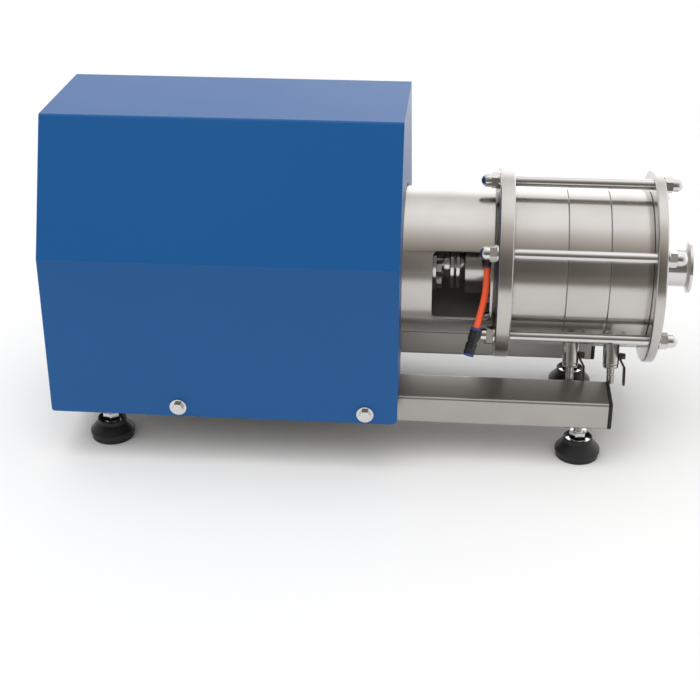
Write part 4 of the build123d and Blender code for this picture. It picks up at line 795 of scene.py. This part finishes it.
def housing_mesh():
    """Seal housing with its flange."""
    low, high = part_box("seal_housing")
    flange = (high.z - low.z) / 2
    inner_start = low.x + 5.0 * MM
    throat = 14.0 * MM
    bore = 22.0 * MM
    wall = 33.0 * MM
    outline = [
        (low.x, throat), (low.x, wall - MM), (low.x + MM, wall), (SEAL_X - END_WALL, wall),
        (SEAL_X - END_WALL, flange), (SEAL_X, flange), (SEAL_X, bore), (inner_start, bore),
        (inner_start, throat),
    ]
    return turned_mesh(outline, soften=0.5 * MM)


def disc_mesh(start):
    """Slinger disc with its spacer."""
    low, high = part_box("slinger_discs")
    disc = (high.z - low.z) / 2 / MM
    outline = [(0, 12.0), (0, disc - 0.5), (0.5, disc), (3.9, disc), (4.4, disc - 0.5), (4.4, 16.0),
               (DISC_PITCH_MM, 16.0), (DISC_PITCH_MM, 12.0)]
    return turned_mesh(in_mm(outline, start), segments=96, soften=0.3 * MM)


finish_piece(pump_shaft_mesh(), "pump_shaft", shaft_steel)
finish_piece(housing_mesh(), "seal_housing", ring_steel)
disc_meshes = [disc_mesh(COLLAR_END), disc_mesh(COLLAR_END + DISC_PITCH_MM * MM)]
finish_piece(joined(disc_meshes), "slinger_discs", shaft_steel)
dressed_copy("coupling_bolts", nut_steel, 0.4 * MM)
dressed_copy("coupling", shaft_steel, 0.5 * MM)
dressed_copy("cap_screws", nut_steel, 0.4 * MM)


# Base: rails, caps, crossmembers and feet

RAIL_DEEPER = 3.0 * MM
RAIL_LONGER = 6.0 * MM
RAIL_BOTTOM = 6.0 * MM
rail_low, rail_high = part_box("front_rail")


def base_piece(node, material):
    """Rail, crossmember or caps with the deeper tube and the longer front rail of the real base."""
    mesh = node_copy(node)
    moves_from = 0.0 if node == "rail_end_caps" else rail_high.x - MM
    for vertex in mesh.vertices:
        if vertex.co.z < rail_low.z + RAIL_BOTTOM:
            vertex.co.z -= RAIL_DEEPER
        if vertex.co.y < 0 and vertex.co.x > moves_from:
            vertex.co.x += RAIL_LONGER
    finish_piece(mesh, node, material, 0.25 * MM)


for node in ("front_rail", "rear_rail", "crossmembers"):
    base_piece(node, rail_steel)
base_piece("rail_end_caps", cap_black)

PLATE_TOP = 19.7 * MM
FOOT_HEX_FLATS = 16.0 * MM
FOOT_HEX_HEIGHT = 8.5 * MM
FOOT_TURN = 12.0
# Moulded foot with a tapered shoulder and a thin raised lip, in mm
FOOT_OUTLINE = [
    (0, 0), (0, 20.4), (0.6, 21.0), (4.4, 21.0), (5.6, 22.2), (9.0, 22.2), (10.2, 21.0), (14.0, 17.6),
    (17.0, 14.25), (21.5, 14.25), (21.5, 12.85), (17.0, 12.85), (17.0, 5.05), (9.0, 5.05), (9.0, 0),
]
# Dished plate below the stud, in mm
PLATE_OUTLINE = [(17.0, 5.0), (17.0, 12.8), (18.4, 12.8), (18.0, 9.0), (18.4, 7.0), (19.7, 6.0), (28.2, 6.0)]


def spindle_mesh(centre, low, high):
    """Dished plate and threaded stud."""
    outline = [
        (low.z, 0), (low.z, 5.0 * MM), *in_mm(PLATE_OUTLINE),
        *thread_points(28.6 * MM, high.z - THREAD_PITCH, 4.4 * MM, 5.0 * MM), (high.z, 4.0 * MM), (high.z, 0),
    ]
    return turned_mesh(outline, centre, Z_AXIS, 48, soften=0)


for number in (1, 2, 3, 4):
    base = f"foot_base_{number}"
    spindle = f"foot_spindle_{number}"
    base_low, base_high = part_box(base)
    foot_x = (base_low.x + base_high.x) / 2
    foot_y = (base_low.y + base_high.y) / 2
    centre = Vector((foot_x, foot_y, 0))
    foot_mesh = turned_mesh(in_mm(FOOT_OUTLINE), centre, Z_AXIS, 96, soften=0.7 * MM)
    finish_piece(foot_mesh, base, foot_black)
    finish_piece(spindle_mesh(centre, *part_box(spindle)), spindle, foot_chrome)
    hex_mesh = prism_mesh(hexagon(FOOT_HEX_FLATS, FOOT_TURN * number), Vector((foot_x, foot_y, PLATE_TOP)),
                          Z_AXIS, FOOT_HEX_HEIGHT, up=Y_AXIS)
    finish_piece(hex_mesh, spindle, nut_steel, 0.7 * MM, own_name=f"foot_hexagon_{number}_piece")


# Cover with its bolts

COVER_SHEET = 1.5 * MM
COVER_OPENING = 75.0 * MM
PUMP_END_CORNER = 6.0 * MM
FAN_END_CORNER = 3.0 * MM


def cover_cutters():
    """Slot below the lantern, which lets the cover lift off, and the rounded lower corners of both sides."""
    drop = cover_low.z - SHAFT_Z - 10.0 * MM
    slot = [(-COVER_OPENING, drop), (COVER_OPENING, drop), (COVER_OPENING, 0), (-COVER_OPENING, 0)]
    slot_start = Vector((cover_high.x - 2 * COVER_SHEET, 0, SHAFT_Z))
    cutters = [prism_mesh(slot, slot_start, X_AXIS, 4 * COVER_SHEET)]
    for corner_x, way, radius in ((cover_high.x, -1, PUMP_END_CORNER), (cover_low.x, 1, FAN_END_CORNER)):
        arc = [(-way * radius * (1 - math.sin(turn)), radius * (1 - math.cos(turn))) for turn in QUARTER_TURN]
        corners = [(way * MM, -MM), (-way * radius, -MM), *arc, (way * MM, radius)]
        for y_start in (cover_low.y - MM, cover_high.y - COVER_SHEET - 0.2 * MM):
            cutters.append(prism_mesh(corners, Vector((corner_x, y_start, cover_low.z)), Y_AXIS,
                                      COVER_SHEET + 1.2 * MM))
    return cutters


finish_piece(cut_mesh(node_copy("motor_cover"), cover_cutters()), "motor_cover", cover_blue, 0.3 * MM)
dressed_copy("cover_bolts", nut_steel, 0.4 * MM)
dressed_copy("cover_washers", nut_steel, 0.25 * MM)


# Drain valves

valve_joints = {joint["child"]: joint for joint in frame["joints"]}
# Turned valve body with its collar and outlet stub, in mm from the shaft
VALVE_OUTLINE = [
    (64.0, 2.5), (64.0, 5.0), (72.8, 5.0), (72.8, 8.0), (98.1, 8.0), (98.6, 7.4), (99.0, 7.7), (101.2, 7.7),
    (102.5, 6.3), (102.5, 3.75), (108.0, 3.75), (108.3, 3.45), (109.0, 3.45), (109.3, 3.75), (118.0, 3.75),
    (118.0, 2.5),
]


def valve_body_mesh(number):
    """Body of a valve, which points away from the shaft."""
    place = Vector(valve_joints[f"drain_handle_{number}"]["pos_m"])
    out = Vector((0, place.y, place.z - SHAFT_Z))
    return turned_mesh(in_mm(VALVE_OUTLINE), Vector((place.x, 0, SHAFT_Z)), out, segments=64, soften=0.3 * MM)


for node in ("valve_ball_1", "valve_lever_1", "valve_ball_2", "valve_lever_2"):
    dressed_copy(node, lever_steel, 0.3 * MM)
finish_piece(joined([valve_body_mesh(1), valve_body_mesh(2)]), "valve_bodies", valve_steel)


# Flush elbow, tube and union

FLUSH_ROUTE_MM = [
    (-9.6, -59.191, 17.807),
    (-9.6, -66.845, -0.671),
    (-13.4, -73.6, -20.5),
    (-17.7, -79.4, -36.3),
]
TUBE_MM = 3.3
TUBE_RADIUS = TUBE_MM * MM
route = [Vector((SEAL_X + x * MM, y * MM, SHAFT_Z + z * MM)) for x, y, z in FLUSH_ROUTE_MM]
ELBOW_ANGLE = 22.5
COLLET_MM = 2.2


def elbow_meshes():
    """Body of the elbow with its hexagon, and the collet ring at its outlet."""
    reach = 61.5
    drop = 4.0
    radius = 5.2
    hex_start = 33.0
    y, z = around(1.0, ELBOW_ANGLE)
    out = Vector((0, y, z))
    down = Vector((0, -z, y))
    base = Vector((route[0].x, 0, SHAFT_Z))
    corner = base + out * reach * MM
    leg = turned_mesh(in_mm([
        (29.0, 0), (29.0, 3.6), (hex_start, 3.6), (38.0, 4.2), (52.0, 4.2), (52.0, radius), (reach, radius),
        (reach + 2.6, 4.5), (reach + 4.5, 2.6), (reach + radius, 0)]), base, out, 48)
    grip = prism_mesh(hexagon(9.6 * MM, 30.0), base + out * hex_start * MM, out, 5.0 * MM, up=X_AXIS)
    outlet = turned_mesh(in_mm([
        (0.1 - radius, 0), (-4.4, 2.7), (0, 5.15), (drop, radius), (drop, 3.4), (0, 3.4), (0, 0)]),
        corner, down, 48)
    collet = turned_mesh(in_mm([
        (-0.5, TUBE_MM + 0.05), (-0.5, 4.3), (0.6, 4.3), (0.6, 4.9), (COLLET_MM, 4.9),
        (COLLET_MM, TUBE_MM + 0.05)], drop * MM), corner, down, 48, soften=0.25 * MM)
    return joined([leg, grip, outlet]), collet


elbow_body, elbow_collet = elbow_meshes()
finish_piece(elbow_body, "flush_elbow", fitting_black)
finish_piece(elbow_collet, "flush_elbow", collet_violet, own_name="elbow_collet_piece")

tube_curve = bpy.data.curves.new("flush_tube_piece", "CURVE")
tube_curve.dimensions = "3D"
spline = tube_curve.splines.new("NURBS")
spline.points.add(len(route) - 1)
for point, place in zip(spline.points, route):
    point.co = (*place, 1.0)
spline.order_u = 3
spline.use_endpoint_u = True
tube_curve.bevel_depth = TUBE_RADIUS
tube_curve.bevel_resolution = 8
tube_curve.resolution_u = 16
tube_curve.use_fill_caps = True
tube_curve.materials.append(tube_orange)
flush_tube = link(bpy.data.objects.new("flush_tube_piece", tube_curve))
set_in_frame(flush_tube, "flush_tube")


def union_meshes():
    """Body of the union and the collet rings at its two ends."""
    radius = 5.4
    groove = 5.1
    body_length = 10.3
    waist_length = 3.0
    origin = route[-1]
    axis = (route[-1] - route[-2]).normalized()
    start = COLLET_MM
    end = start + 2 * body_length + waist_length
    half = [(-0.2, 3.4), (-0.2, radius - 0.4), (0.6, radius), (3.6, radius), (3.9, groove), (4.6, groove),
            (4.9, radius), (body_length, radius), (body_length, 4.6)]
    outline = [(start + along, out) for along, out in half]
    outline += [(end - along, out) for along, out in half[::-1]]
    body = turned_mesh(in_mm(outline), origin, axis, 64, soften=0.25 * MM)
    collets = []
    for first, last in ((0.0, start), (end, end + COLLET_MM)):
        outline = in_mm(ring_outline(first, last, TUBE_MM + 0.02, 5.1))
        collets.append(turned_mesh(outline, origin, axis, 64, soften=0.3 * MM))
    return body, joined(collets)


union_body, union_collets = union_meshes()
union_piece = finish_piece(union_body, "tube_union", fitting_black)
collet_piece = finish_piece(union_collets, "tube_union", collet_blue, own_name="union_collets_piece")


# CAD nodes that keep their shape and get their finish here

node_finishes = {
    "motor_frame": cast_grey, "drive_end_shield": cast_grey, "rear_end_shield": cast_grey,
    "fan_cowl": cast_grey, "terminal_box": cast_grey, "motor_stator": core_steel, "motor_rotor": shaft_steel,
    "cooling_fan": cap_black, "motor_bearings": shaft_steel, "motor_foot_bolts": nut_steel,
    "seal_seat": seal_carbon, "seal_head": seal_carbon, "chamber_gaskets": gasket_rubber,
    "rotor_nut": nut_steel,
}
for number in (1, 2, 3):
    node_finishes[f"rotor_{number}"] = shaft_steel
    node_finishes[f"stator_{number}"] = ring_steel
for node, material in node_finishes.items():
    paint(frame["nodes"][node].data, material)


# Camera, floor and light

def add_camera():
    """Camera at the place and angle of the photograph."""
    data = bpy.data.cameras.new("photo_camera")
    data.lens = CAMERA_LENS
    data.sensor_width = 36.0
    data.clip_start = 0.01
    camera = link(bpy.data.objects.new("photo_camera", data))
    turn = (Matrix.Rotation(math.radians(CAMERA_YAW), 4, "Z")
            @ Matrix.Rotation(math.radians(90 - CAMERA_PITCH), 4, "X")
            @ Matrix.Rotation(math.radians(CAMERA_ROLL), 4, "Z"))
    camera.matrix_world = Matrix.Translation(CAMERA_PLACE) @ turn
    bpy.context.scene.camera = camera


def add_floor():
    """Plain pale floor whose rim fades into the white behind it."""
    half = 1.5
    fade_start = 0.75
    fade_end = 1.35
    mesh = bpy.data.meshes.new("floor")
    corners = [(-half, -half, 0), (half, -half, 0), (half, half, 0), (-half, half, 0)]
    mesh.from_pydata(corners, [], [(0, 1, 2, 3)])
    material = bpy.data.materials.new("floor_pale")
    material.use_nodes = True
    tree = material.node_tree
    distance = vector_math(tree, "LENGTH", place_on_object(tree))
    feed(tree, tree.nodes["Principled BSDF"], {
        "Base Color": (0.87, 0.867, 0.863, 1), "Roughness": 0.8, "Specular IOR Level": 0.1,
        "Alpha": ranged(tree, distance, fade_start, fade_end, 1.0, 0.0, interpolation_type="SMOOTHSTEP")})
    mesh.materials.append(material)
    link(bpy.data.objects.new("floor", mesh))


def add_soft_sun(name, elevation, strength, spread):
    """Broad soft light from the front side of the machine, elevation in degrees from its front horizon."""
    data = bpy.data.lights.new(name, "SUN")
    data.energy = strength
    data.angle = math.radians(spread)
    lamp = link(bpy.data.objects.new(name, data))
    y, z = around(1.0, elevation)
    lamp.matrix_world = Vector((-0.12, y, z)).to_track_quat("Z", "Y").to_matrix().to_4x4()
    lamp.visible_glossy = False


# Brightness of the reflected room by degrees from the front horizon over the top to the back
ROOM_LEVELS = [
    (0, 0.22), (6, 0.12), (28, 0.16), (40, 0.32), (52, 0.52), (65, 0.75), (80, 1.15), (103, 1.2), (125, 1.0),
    (137, 0.85), (146, 1.15), (152, 1.5), (175, 1.6), (180, 1.4),
]


def room_ramp(tree, share):
    """Colour of the reflected room, a little warmer where it is darker."""
    ramp = new_node(tree, "ShaderNodeValToRGB", {"Fac": share})
    elements = ramp.color_ramp.elements
    elements[0].position = 0.0
    elements[1].position = 1.0
    for angle, level in ROOM_LEVELS[1:-1]:
        elements.new(angle / 180)
    for element, (angle, level) in zip(elements, ROOM_LEVELS):
        element.position = angle / 180
        warm = 0.10 * (1 - min(level, 1.0))
        element.color = (level * (1 + warm), level, level * (1 - 1.6 * warm), 1)
    return ramp.outputs["Color"]


def background(tree, colour):
    """Light of one colour, or of a socket's colour."""
    return new_node(tree, "ShaderNodeBackground", {"Color": colour}).outputs[0]


def mix_light(tree, factor, first, second):
    """First light where the factor is 0, and second light where it is 1."""
    return new_node(tree, "ShaderNodeMixShader", {0: factor, 1: first, 2: second}).outputs[0]


def add_world():
    """White where the camera looks, even grey light on the object, and a studio to reflect.

    The reflected studio follows the angle round the shaft, from the front horizon over the top to the
    back: darker where the room is in front, bright soft boxes above and a white backdrop behind. The
    side towards the inlet is brighter than the other."""
    world = bpy.data.worlds.new("studio")
    bpy.context.scene.world = world
    world.use_nodes = True
    tree = world.node_tree
    tree.nodes.clear()
    coordinates = tree.nodes.new("ShaderNodeTexCoord")
    split = new_node(tree, "ShaderNodeSeparateXYZ", {0: coordinates.outputs["Generated"]}).outputs
    turn = scalar_math(tree, "ARCTAN2", split["Z"], scalar_math(tree, "MULTIPLY", split["Y"], -1.0))
    share = scalar_math(tree, "DIVIDE", scalar_math(tree, "ABSOLUTE", turn), math.pi)
    gain = ranged(tree, split["X"], -0.25, 0.05, 0.9, 1.15)
    room = new_node(tree, "ShaderNodeMix", {
        "Factor": scalar_math(tree, "POWER", split["X"], 2.0),
        "A": vector_math(tree, "SCALE", room_ramp(tree, share), gain),
        "B": ranged(tree, split["X"], -1.0, 1.0, 0.55, 1.25)}, data_type="RGBA")
    path = tree.nodes.new("ShaderNodeLightPath").outputs
    plain = background(tree, (0.62, 0.62, 0.62, 1))
    on_object = mix_light(tree, path["Is Glossy Ray"], plain, background(tree, room.outputs["Result"]))
    seen = scalar_math(tree, "MAXIMUM", path["Is Camera Ray"], path["Is Transmission Ray"])
    new_node(tree, "ShaderNodeOutputWorld", {
        "Surface": mix_light(tree, seen, on_object, background(tree, (1, 1, 1, 1)))})


add_camera()
add_floor()
add_soft_sun("top_box", 100.0, 0.55, 50.0)
add_soft_sun("front_fill", 62.0, 1.5, 60.0)
add_world()
bpy.context.scene.view_settings.view_transform = "Standard"
